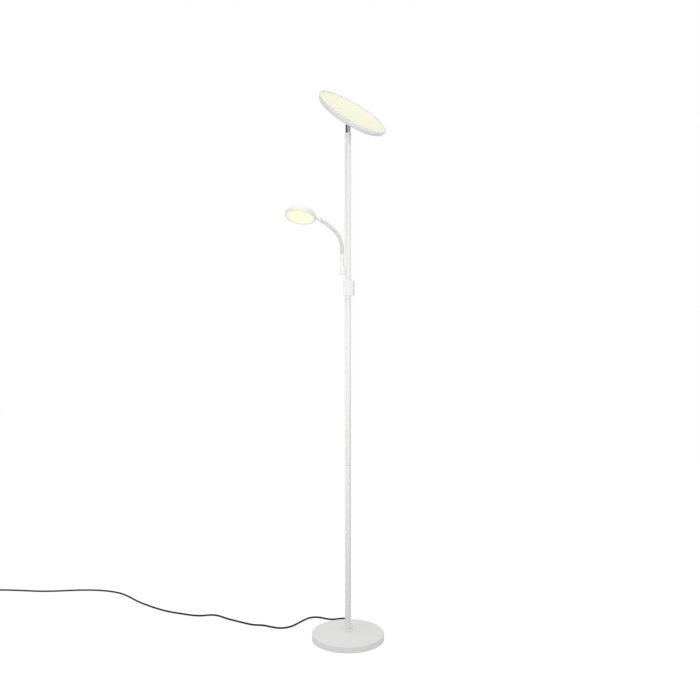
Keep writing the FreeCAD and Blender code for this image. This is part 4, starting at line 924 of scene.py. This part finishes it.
def add_lamp(name, spot, target, side, power, spread):
    """A soft square lamp that points at a target."""
    light = bpy.data.lights.new(name, "AREA")
    light.shape = "SQUARE"
    light.size = side
    light.energy = power
    light.spread = math.radians(spread)
    lamp = new_object(name, light)
    lamp.location = spot
    lamp.rotation_euler = (Vector(target) - Vector(spot)).to_track_quat("-Z", "Y").to_euler()


def add_flags():
    """Two dark cards beside the lamp's top that only reflections see, as for any bright metal."""
    material, tree, shader, _ = new_material("dark_card")
    feed(tree, shader, {"Base Color": (0.06, 0.06, 0.06), "Roughness": 0.9})
    for name, x in CARD_SIDES.items():
        bm = bmesh.new()
        bm.faces.new([bm.verts.new((x, y, z)) for y, z in CARD_CORNERS])
        card = mesh_piece(name, bm)
        card.data.materials.append(material)
        for ray in ("camera", "diffuse", "shadow", "transmission", "volume_scatter"):
            setattr(card, f"visible_{ray}", False)


# ---- mains lead ----

# The route's control points: down from the strain relief, along the floor, up to the coil.
LEAD_DOWN = [(0, 139.9, 9), (0, 149, 9), (-3, 159, 7), (-13, 169, 4.2)]
LEAD_ALONG = [
    (-32, 169), (-55, 161), (-78, 169), (-97, 181), (-118, 185), (-137, 177),
    (-151, 160), (-168, 134), (-184, 107), (-206, 87), (-235, 82), (-262, 95),
    (-291, 110), (-323, 111), (-356, 129), (-391, 150), (-427, 172), (-457, 199),
    (-487, 207), (-517, 196), (-552, 201), (-592, 217), (-637, 234), (-684, 261),
    (-735, 300), (-785, 342), (-832, 394), (-880, 437), (-938, 462), (-1002, 472),
    (-1068, 470), (-1134, 459), (-1200, 456), (-1262, 465),
]
LEAD_UP = [(-1316, 470, 3.2), (-1360, 470, 3.9), (-1396, 470, 3.9)]
LEAD_HEIGHT = 3
COIL_MIDDLE = (-1402, 437)
COIL_RADIUS = 33
COIL_HEIGHT = 3.9
COIL_TURNS = 2
COIL_STEPS = 18 * COIL_TURNS
# From one turn to the next, and from the lower layer to the upper.
COIL_PITCH = 6.6
# The control points lie this much further out than the curve that they draw.
COIL_EASE = 1.008
# The turn at which the lead starts to climb, and how much of a turn it takes.
CLIMB_START = 0.75
CLIMB_TURN = 0.5
COIL_TAIL = [(-1412, 470.2, 10.5), (-1424, 470, 10.3), (-1436, 470, 8.6), (-1446, 470, 7.3)]
PLUG_ENTRY = (-1454, 470, 7.2)
PLUG_LENGTH = 57.0
PLUG_SIDES = 44
PIN_SPACING = 18.6


def coil_route():
    """The coil's points: in by one turn and out by one, climbing a layer as it reverses."""
    points = []
    for step in range(COIL_STEPS + 1):
        turns = step * COIL_TURNS / COIL_STEPS
        radius = (COIL_RADIUS - COIL_PITCH * (1 - abs(turns - 1))) * COIL_EASE
        climb = min(1.0, max(0.0, (turns - CLIMB_START) / CLIMB_TURN))
        height = COIL_HEIGHT + climb * climb * (3 - 2 * climb) * COIL_PITCH
        angle = math.pi / 2 + 2 * math.pi * turns
        x = COIL_MIDDLE[0] + radius * math.cos(angle)
        y = COIL_MIDDLE[1] + radius * math.sin(angle)
        points.append((x, y, height))
    return points


class LampLead(bpy.types.Operator):
    """Lays the black mains lead, its coil and its tie, and the plug with its grip ribs."""

    bl_idname = "torchiere.lead"
    bl_label = "Mains lead"

    def execute(self, context):
        sizes = context.scene.torchiere_sizes
        floor = [(x, y, LEAD_HEIGHT) for x, y in LEAD_ALONG]
        points = [*LEAD_DOWN, *floor, *LEAD_UP, *coil_route(), *COIL_TAIL, PLUG_ENTRY]
        route = [Vector(point) * MM for point in points]
        curve = bpy.data.curves.new("mains_lead", "CURVE")
        curve.dimensions = "3D"
        curve.resolution_u = 8
        curve.bevel_depth = sizes.cord_diameter / 2
        curve.bevel_resolution = 5
        curve.use_fill_caps = True
        line = curve.splines.new("NURBS")
        line.points.add(len(route) - 1)
        for point, place in zip(line.points, route):
            point.co = (*place, 1)
        line.order_u = 3
        line.use_endpoint_u = True
        curve.materials.append(FINISHES["lead"])
        lead = new_object("mains_lead", curve)
        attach(lead, "stand")
        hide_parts("cord_run", "cord_coil")

        dress("black", "cord_tie")
        relief = strain_relief()
        plug = moulded_plug()
        pins = plug_pins()
        return {"FINISHED"}


def strain_relief():
    """The ribbed, tapered rubber relief where the lead leaves the base."""
    bore = 3.02
    lip = 1.2
    back = COVER_RADIUS - COVER_WALL - 1.4
    corners = [(bore, back + 0.1), (5.6, back), (5.6, back + lip), (4.0, back + lip)]
    corners += [(4.0, 117.52), (5.6, 117.52, 0.4), (5.6, 119.2, 0.4)]
    for index in range(7):
        start = 119.6 + index * 2.7
        radius = 5.35 - index * 0.2
        corners += [(radius - 0.75, start, 0), (radius - 0.75, start + 0.7, 0)]
        corners += [(radius, start + 0.8, 0.2), (radius, start + 2.55, 0.2)]
    corners += [(3.7, 138.8, 0.2), (3.7, 139.85, 0.3), (bore, 139.85)]
    place = Matrix.Translation((0, 0, LEAD_DOWN[0][2] * MM)) @ turned(-90, "X")
    return lathe("strain_relief", "cord_gland", "black", "stand", corners, 48, place)


def plug_ring(bm, x, half_width, half_height):
    """One rounded rectangular ring of vertices across the plug."""
    entry = Vector(PLUG_ENTRY)
    ring = []
    for step in range(PLUG_SIDES):
        angle = 2 * math.pi * step / PLUG_SIDES
        across = math.copysign(abs(math.cos(angle)) ** 0.5, math.cos(angle)) * half_width
        up = math.copysign(abs(math.sin(angle)) ** 0.5, math.sin(angle)) * half_height
        ring.append(bm.verts.new((entry + Vector((-x, across, up))) * MM))
    return ring


def moulded_plug():
    """The plug's moulding: a segmented relief, then a flat body with grip ridges."""
    stations = [(0.0, 3.6, 3.6)]
    for index in range(6):
        start = 0.3 + index * 3.5
        radius = 3.95 + index * 0.2
        ridge = [(0.0, radius), (2.2, radius + 0.1), (2.4, radius - 0.7), (3.2, radius - 0.6)]
        stations += [(start + reach, half, half) for reach, half in ridge]
    stations += [(22.0, 6.4, 5.0), (23.0, 8.0, 6.0), (25.5, 9.4, 6.5)]
    for index in range(5):
        start = 27.5 + index * 3.6
        wide = 9.9 + (start - 25.5) * 0.27
        stations += [(start, wide, 6.85), (start + 1.9, wide + 0.5, 6.95)]
        stations += [(start + 2.2, wide + 0.1, 6.35), (start + 3.3, wide + 0.4, 6.35)]
    stations += [(46.0, 15.3, 6.9), (51.5, 16.7, 6.98), (56.3, 16.9, 6.98)]
    stations += [(PLUG_LENGTH, 16.2, 6.3)]
    bm = bmesh.new()
    rings = [plug_ring(bm, *station) for station in stations]
    for first, second in zip(rings, rings[1:]):
        for index in range(PLUG_SIDES):
            after = (index + 1) % PLUG_SIDES
            bm.faces.new((first[index], first[after], second[after], second[index]))
    bm.faces.new(rings[0])
    bm.faces.new(rings[-1])
    bmesh.ops.recalc_face_normals(bm, faces=bm.faces)
    plug = finish_mesh(mesh_piece("plug_moulding", bm), "black", "stand", sharp=32)
    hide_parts("plug_body")
    return plug


def plug_pins():
    """Two round pins with blunt tips, sleeved over the half nearest to the plug."""
    sleeve = 9.5
    corners = [(0, -3.9), (1.6, -3.9), (1.6, 0), (1.9, 0, 0.1), (1.9, sleeve, 0.1)]
    corners += [(2.0, sleeve + 0.1, 0), (2.0, 19.0, 1.2), (0, 19.0)]
    face = Vector(PLUG_ENTRY) + Vector((-PLUG_LENGTH, 0, 0))
    both = bmesh.new()
    for across in (-PIN_SPACING / 2, PIN_SPACING / 2):
        pin = lathe_mesh(corners, 32)
        spot = (face + Vector((0, across, 0))) * MM
        pin.transform(Matrix.Translation(spot) @ turned(-90, "Y"))
        take_in(both, pin)
    pins = finish_mesh(mesh_piece("plug_pin_pair", both), "nickel", "stand", sharp=30)
    pins.data.materials.append(FINISHES["black"])
    for polygon in pins.data.polygons:
        reach = (face.x * MM - polygon.center.x) / MM
        if 0.05 < reach < sleeve + 0.05:
            polygon.material_index = 1
    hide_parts("plug_pins")
    return pins


# ---- base and pole ----

COVER_RADIUS = 117.5
COVER_WALL = 1.2
COVER_TOP = 28.5
COVER_BOTTOM = 1.5
COVER_SHOULDER = 22.0
POLE_RADIUS = 10.0
POLE_BORE = 8.6


class LampBase(bpy.types.Operator):
    """Turns the base's cover and dresses the casting, plate and pad inside and below it."""

    bl_idname = "torchiere.base"
    bl_label = "Base"

    def execute(self, context):
        inside = COVER_RADIUS - COVER_WALL
        under = COVER_TOP - COVER_WALL
        corners = [
            (6.3, COVER_TOP),
            (19.0, COVER_TOP),
            (COVER_RADIUS, COVER_SHOULDER, 4.0),
            (COVER_RADIUS, COVER_BOTTOM, 0.3),
            (inside, COVER_BOTTOM),
            (inside, COVER_SHOULDER - COVER_WALL, 2.8),
            (19.0, under),
            (6.3, under),
        ]
        lathe("base_shell", "base_cover", "base_enamel", "stand", corners, 192)
        dress("iron", "base_weight")
        dress("zinc", "base_plate", "pole_stud", "stud_nut", "stud_washer")
        set_screws("plate_screws", (0, 0, -1), 3.8, 1.5, 2.0)
        dress("rubber", "base_pad")
        dress("black", "foot_bush")
        return {"FINISHED"}


class LampPole(bpy.types.Operator):
    """Turns the pole's sections, the collar at its foot and the cap at its top."""

    bl_idname = "torchiere.pole"
    bl_label = "Pole"

    def execute(self, context):
        for name in ("pole_lower", "pole_middle", "pole_upper"):
            corners = tube_corners(POLE_RADIUS, POLE_BORE, *heights(name), 0.25)
            lathe(f"{name}_tube", name, "pole", "stand", corners, 64)
        collar = [(10.05, 28.52), (17.0, 28.52, 0.3), (17.0, 33.5, 1.6), (10.05, 33.5, 0.2)]
        lathe("foot_collar", "pole_collar", "plastic", "stand", collar, 96)
        top = heights("pole_upper")[1]
        cap = [
            (5.05, top - 18),
            (8.58, top - 18, 0.3),
            (8.58, top),
            (10.9, top, 0.3),
            (10.9, top + 4.5, 0.9),
            (5.05, top + 4.5),
        ]
        lathe("top_cap", "pole_cap", "enamel", "stand", cap, 96)
        dress("zinc", "coupler_lower", "coupler_upper")
        dress("nylon", "swivel_washer")
        dress("lead", "supply_lead")
        return {"FINISHED"}


# ---- uplight ----

DISH_RADIUS = 122.6
DISH_WALL = 1.2
DISH_FLOOR = 8.3
DISH_RIM = DISH_FLOOR + 29.4
RING_TOP = DISH_RIM - 0.5
LENS_TOP = RING_TOP - 3.0
LENS_FLOOR = LENS_TOP - 2.2


class LampUplight(bpy.types.Operator):
    """Turns the uplight's dish, trim ring and glowing diffuser, and dresses its tilting joint."""

    bl_idname = "torchiere.uplight"
    bl_label = "Uplight"

    def execute(self, context):
        inside = DISH_RADIUS - DISH_WALL
        dish = [
            (4.0, DISH_FLOOR),
            (70.0, DISH_FLOOR, 12.0),
            (DISH_RADIUS, DISH_FLOOR + 10.4, 20.0),
            (DISH_RADIUS, DISH_RIM, 0.5),
            (inside, DISH_RIM, 0.4),
            (inside, DISH_FLOOR + 11.38, 18.8),
            (69.9, DISH_FLOOR + DISH_WALL, 10.8),
            (4.0, DISH_FLOOR + DISH_WALL),
        ]
        ring = [
            (118.3, LENS_TOP),
            (120.25, LENS_TOP),
            (120.25, LENS_FLOOR),
            (120.9, LENS_FLOOR),
            (120.9, RING_TOP, 0.6),
            (118.3, RING_TOP, 0.9),
        ]
        lens = [(0, LENS_FLOOR), (119.5, LENS_FLOOR, 0.2), (119.5, LENS_TOP, 0.2), (0, LENS_TOP)]
        for name, node, finish, corners, segments in (
            ("uplight_shell", "uplight_dish", "enamel", dish, 192),
            ("trim_ring", "uplight_ring", "ring", ring, 192),
            ("opal_lens", "uplight_diffuser", "uplight", lens, 160),
        ):
            lathe(name, node, finish, "uplight_head", corners, segments, head_place())
        dress("chrome", "swivel_stem", "tilt_bracket", "tilt_bolt", "tilt_nut")
        dress("zinc", "tilt_bracket_screws")
        dress("brass", "swivel_nut")
        dress("nylon", "friction_washers")
        dress("aluminium", "heat_plate")
        dress("board", "uplight_board")
        dress("plastic", "uplight_driver")
        return {"FINISHED"}


# ---- dimmer ----

KNOB_RADIUS = 9.6
KNOB_DEPTH = 3.8
FLUTE_RADIUS = 0.34
FLUTE_HEIGHT = 2.7
POINTER = (4.2, 1.1, 0.5)


class LampDimmer(bpy.types.Operator):
    """Dresses the dimmer housing and makes its two fluted knobs with their pointer marks."""

    bl_idname = "torchiere.dimmer"
    bl_label = "Dimmer"

    def execute(self, context):
        flutes = context.scene.torchiere_sizes.knob_flutes
        dress("plastic", "dimmer_front", "dimmer_back")
        set_screws("dimmer_screws", (0, 1, 0), 2.1, 1.4, 1.2)
        dress("green", "dimmer_board")
        dress("black", "control_uplight", "control_reading")
        make_knob("knob_uplight", "uplight_knob", flutes)
        make_knob("knob_reading", "reading_knob", flutes)
        return {"FINISHED"}


def make_knob(node, body, flutes):
    """A flat knob: a turned disc with a dished face, grip ridges, and a raised pointer."""
    low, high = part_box(node)
    face = high[0] / MM
    stem = low[0] / MM
    back = face - KNOB_DEPTH
    corners = [
        (0, stem),
        (3.0, stem, 0.2),
        (3.0, back),
        (KNOB_RADIUS, back, 0.3),
        (KNOB_RADIUS, face, 0.9),
        (7.6, face, 0.4),
        (7.2, face - 0.4, 0.4),
        (0, face - 0.4),
    ]
    disc = lathe_mesh(corners, 96)
    pointer = bmesh.new()
    bmesh.ops.create_cube(pointer, size=1)
    bmesh.ops.scale(pointer, vec=Vector(POINTER) * MM, verts=pointer.verts)
    bmesh.ops.bevel(
        pointer, geom=pointer.edges, offset=0.15 * MM, segments=2, affect="EDGES", profile=0.5
    )
    bmesh.ops.translate(pointer, vec=(-4.6 * MM, 0, (face - 0.3) * MM), verts=pointer.verts)
    take_in(disc, pointer)
    name = f"{node}_flutes"
    values = {
        "Count": flutes,
        "Ring Radius": (KNOB_RADIUS + 0.02) * MM,
        "Height": FLUTE_HEIGHT * MM,
        "Bar Radius": FLUTE_RADIUS * MM,
        "Material": FINISHES["plastic"],
    }
    bars = apply_tree(new_object(name, bpy.data.meshes.new(name)), flute_tree, values)
    bars.data.transform(Matrix.Translation((0, 0, (back + 1.75) * MM)))
    disc.from_mesh(bars.data)
    bpy.data.objects.remove(bars, do_unlink=True)
    middle = Vector((0, (low[1] + high[1]) / 2, (low[2] + high[2]) / 2))
    knob = mesh_piece(f"{node}_cap", disc, Matrix.Translation(middle) @ turned(90, "Y"))
    finish_mesh(knob, "plastic", body, sharp=50)
    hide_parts(node)


# ---- reading arm ----

ARM_X = -19.3
ARM_BEND_HEIGHT = 1268.0
ARM_RADIUS = 6.25
ARM_BORE = 4.2
# How far the sleeve reaches down into the straight foot, before the first bend.
SLEEVE_START = -15.0
SLEEVE_STEPS = 24
LOW_RADIUS = 90.0
UPPER_RADIUS = 260.0
# How far the arm has turned from upright at the end of each flexible length, in degrees.
TURNS = (24.0, 48.0, 60.5)
ARM_PIECES = ("hose_lower", "hose_middle", "hose_upper")
ARM_BODIES = ("stand", "arm_link_low", "arm_link_high", "arm_end")


def arm_point(length):
    """A point of the arm's centreline in metres, by length from the start of its first bend."""
    foot = Vector((ARM_X, 0, ARM_BEND_HEIGHT))
    low_length = LOW_RADIUS * math.radians(TURNS[1])
    if length <= 0:
        return (foot + Vector((0, 0, length))) * MM
    turn = min(length, low_length) / LOW_RADIUS
    x = foot.x - LOW_RADIUS * (1 - math.cos(turn))
    z = foot.z + LOW_RADIUS * math.sin(turn)
    if length > low_length:
        start = math.radians(TURNS[1])
        end = start + (length - low_length) / UPPER_RADIUS
        x += UPPER_RADIUS * (math.cos(end) - math.cos(start))
        z += UPPER_RADIUS * (math.sin(end) - math.sin(start))
    return Vector((x, 0, z)) * MM


def arm_lengths():
    """Where each flexible length of the arm starts and ends, along its centreline."""
    low = LOW_RADIUS * math.radians(TURNS[0])
    middle = LOW_RADIUS * math.radians(TURNS[1])
    upper = middle + UPPER_RADIUS * math.radians(TURNS[2] - TURNS[1])
    return [(SLEEVE_START, low), (low, middle), (middle, upper)]


class LampArm(bpy.types.Operator):
    """Makes the arm's ribbed flexible lengths, laid along the arm's fixed bends."""

    bl_idname = "torchiere.arm"
    bl_label = "Reading arm"

    def execute(self, context):
        sizes = context.scene.torchiere_sizes
        ends = zip(ARM_BODIES, ARM_BODIES[1:])
        for node, (start, end), (below, above) in zip(ARM_PIECES, arm_lengths(), ends):
            piece = ribbed_length(f"{node}_sleeve", start, end, sizes)
            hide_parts(node)
            arm_point(start)
            arm_point(end)
            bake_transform(piece)
        dress("enamel", "arm_bracket", "neck_elbow")
        set_screws("arm_bracket_screw", (-1, 0, 0), 3.7, 2.6, 2.0)
        dress("zinc", "neck_clip")
        corners = tube_corners(ARM_RADIUS, ARM_BORE, *heights("arm_tube"), 0.3)
        place = Matrix.Translation((ARM_X * MM, 0, 0))
        lathe("arm_tube_skin", "arm_tube", "enamel", "stand", corners, 64, place)
        return {"FINISHED"}


def ribbed_length(name, start, end, sizes):
    """One flexible length as a plain mesh, its grooves in step with the lengths beside it."""
    curve = bpy.data.curves.new(name, "CURVE")
    curve.dimensions = "3D"
    line = curve.splines.new("POLY")
    line.points.add(SLEEVE_STEPS)
    for step, point in enumerate(line.points):
        point.co = (*arm_point(start + (end - start) * step / SLEEVE_STEPS), 1)
    values = {
        "Radius": ARM_RADIUS * MM,
        "Rib Pitch": sizes.rib_pitch,
        "Rib Depth": sizes.rib_depth,
        "Start": (start - SLEEVE_START) * MM,
        "Material": FINISHES["sleeve"],
    }
    piece = apply_tree(new_object(name, curve), ribbed_tree, values)
    bm = bmesh.new()
    bm.from_mesh(piece.data)
    rims = [edge for edge in bm.edges if edge.is_boundary]
    bmesh.ops.holes_fill(bm, edges=rims, sides=0)
    bmesh.ops.recalc_face_normals(bm, faces=bm.faces)
    bm.to_mesh(piece.data)
    bm.free()
    return finish_mesh(piece, "sleeve", sharp=60)


# ---- reading head ----

READING_RADIUS = 50.0
READING_BACK = 8.5
READING_FACE = -8.5
READING_WALL = 1.5
LENS_FACE = -7.0


class LampReading(bpy.types.Operator):
    """Turns the reading head's shell, bezel and glowing diffuser."""

    bl_idname = "torchiere.reading"
    bl_label = "Reading head"

    def execute(self, context):
        inside = READING_RADIUS - READING_WALL
        shell = [
            (0, READING_BACK),
            (READING_RADIUS, READING_BACK, 4.0),
            (READING_RADIUS, -6.9, 0.25),
            (inside, -6.9),
            (inside, READING_BACK - READING_WALL, 2.5),
            (0, READING_BACK - READING_WALL),
        ]
        bezel = [
            (45.6, LENS_FACE),
            (45.6, READING_FACE, 0.5),
            (READING_RADIUS, READING_FACE, 0.8),
            (READING_RADIUS, -7.1, 0.2),
            (49.8, LENS_FACE),
        ]
        lens = [(0, LENS_FACE), (46.8, LENS_FACE, 0.1), (46.8, -6.15), (0, -6.15)]
        for name, node, finish, corners in (
            ("reading_cup", "reading_shell", "enamel", shell),
            ("reading_rim", "reading_bezel", "ring", bezel),
            ("reading_lens", "reading_diffuser", "reading", lens),
        ):
            lathe(name, node, finish, "reading_head", corners, 128, reading_place())
        dress("board", "reading_board")
        return {"FINISHED"}


# ---- panel, and the order in which it all runs ----


class LampPanel(bpy.types.Panel):
    """Lists the lamp's settings and the steps that build it."""

    bl_idname = "VIEW3D_PT_torchiere"
    bl_label = "Torchiere"
    bl_space_type = "VIEW_3D"
    bl_region_type = "UI"
    bl_category = "Torchiere"

    def draw(self, context):
        layout = self.layout
        for settings in (context.scene.torchiere_sizes, context.scene.torchiere_colours):
            for name in settings.__annotations__:
                layout.prop(settings, name)
        for step in STEPS:
            layout.operator(step.bl_idname)


STEPS = (
    LampStage,
    LampLead,
    LampBase,
    LampPole,
    LampUplight,
    LampDimmer,
    LampArm,
    LampReading,
)
CLASSES = (LampColours, LampSizes, *STEPS, LampPanel)


def register():
    for item in CLASSES:
        bpy.utils.register_class(item)
    bpy.types.Scene.torchiere_sizes = PointerProperty(type=LampSizes)
    bpy.types.Scene.torchiere_colours = PointerProperty(type=LampColours)


def unregister():
    del bpy.types.Scene.torchiere_colours
    del bpy.types.Scene.torchiere_sizes
    for item in reversed(CLASSES):
        bpy.utils.unregister_class(item)


def main():
    """Builds the whole lamp."""
    register()
    make_finishes(bpy.context.scene.torchiere_colours)
    for step in STEPS:
        family, name = step.bl_idname.split(".")
        getattr(getattr(bpy.ops, family), name)()


if __name__ == "__main__":
    main()
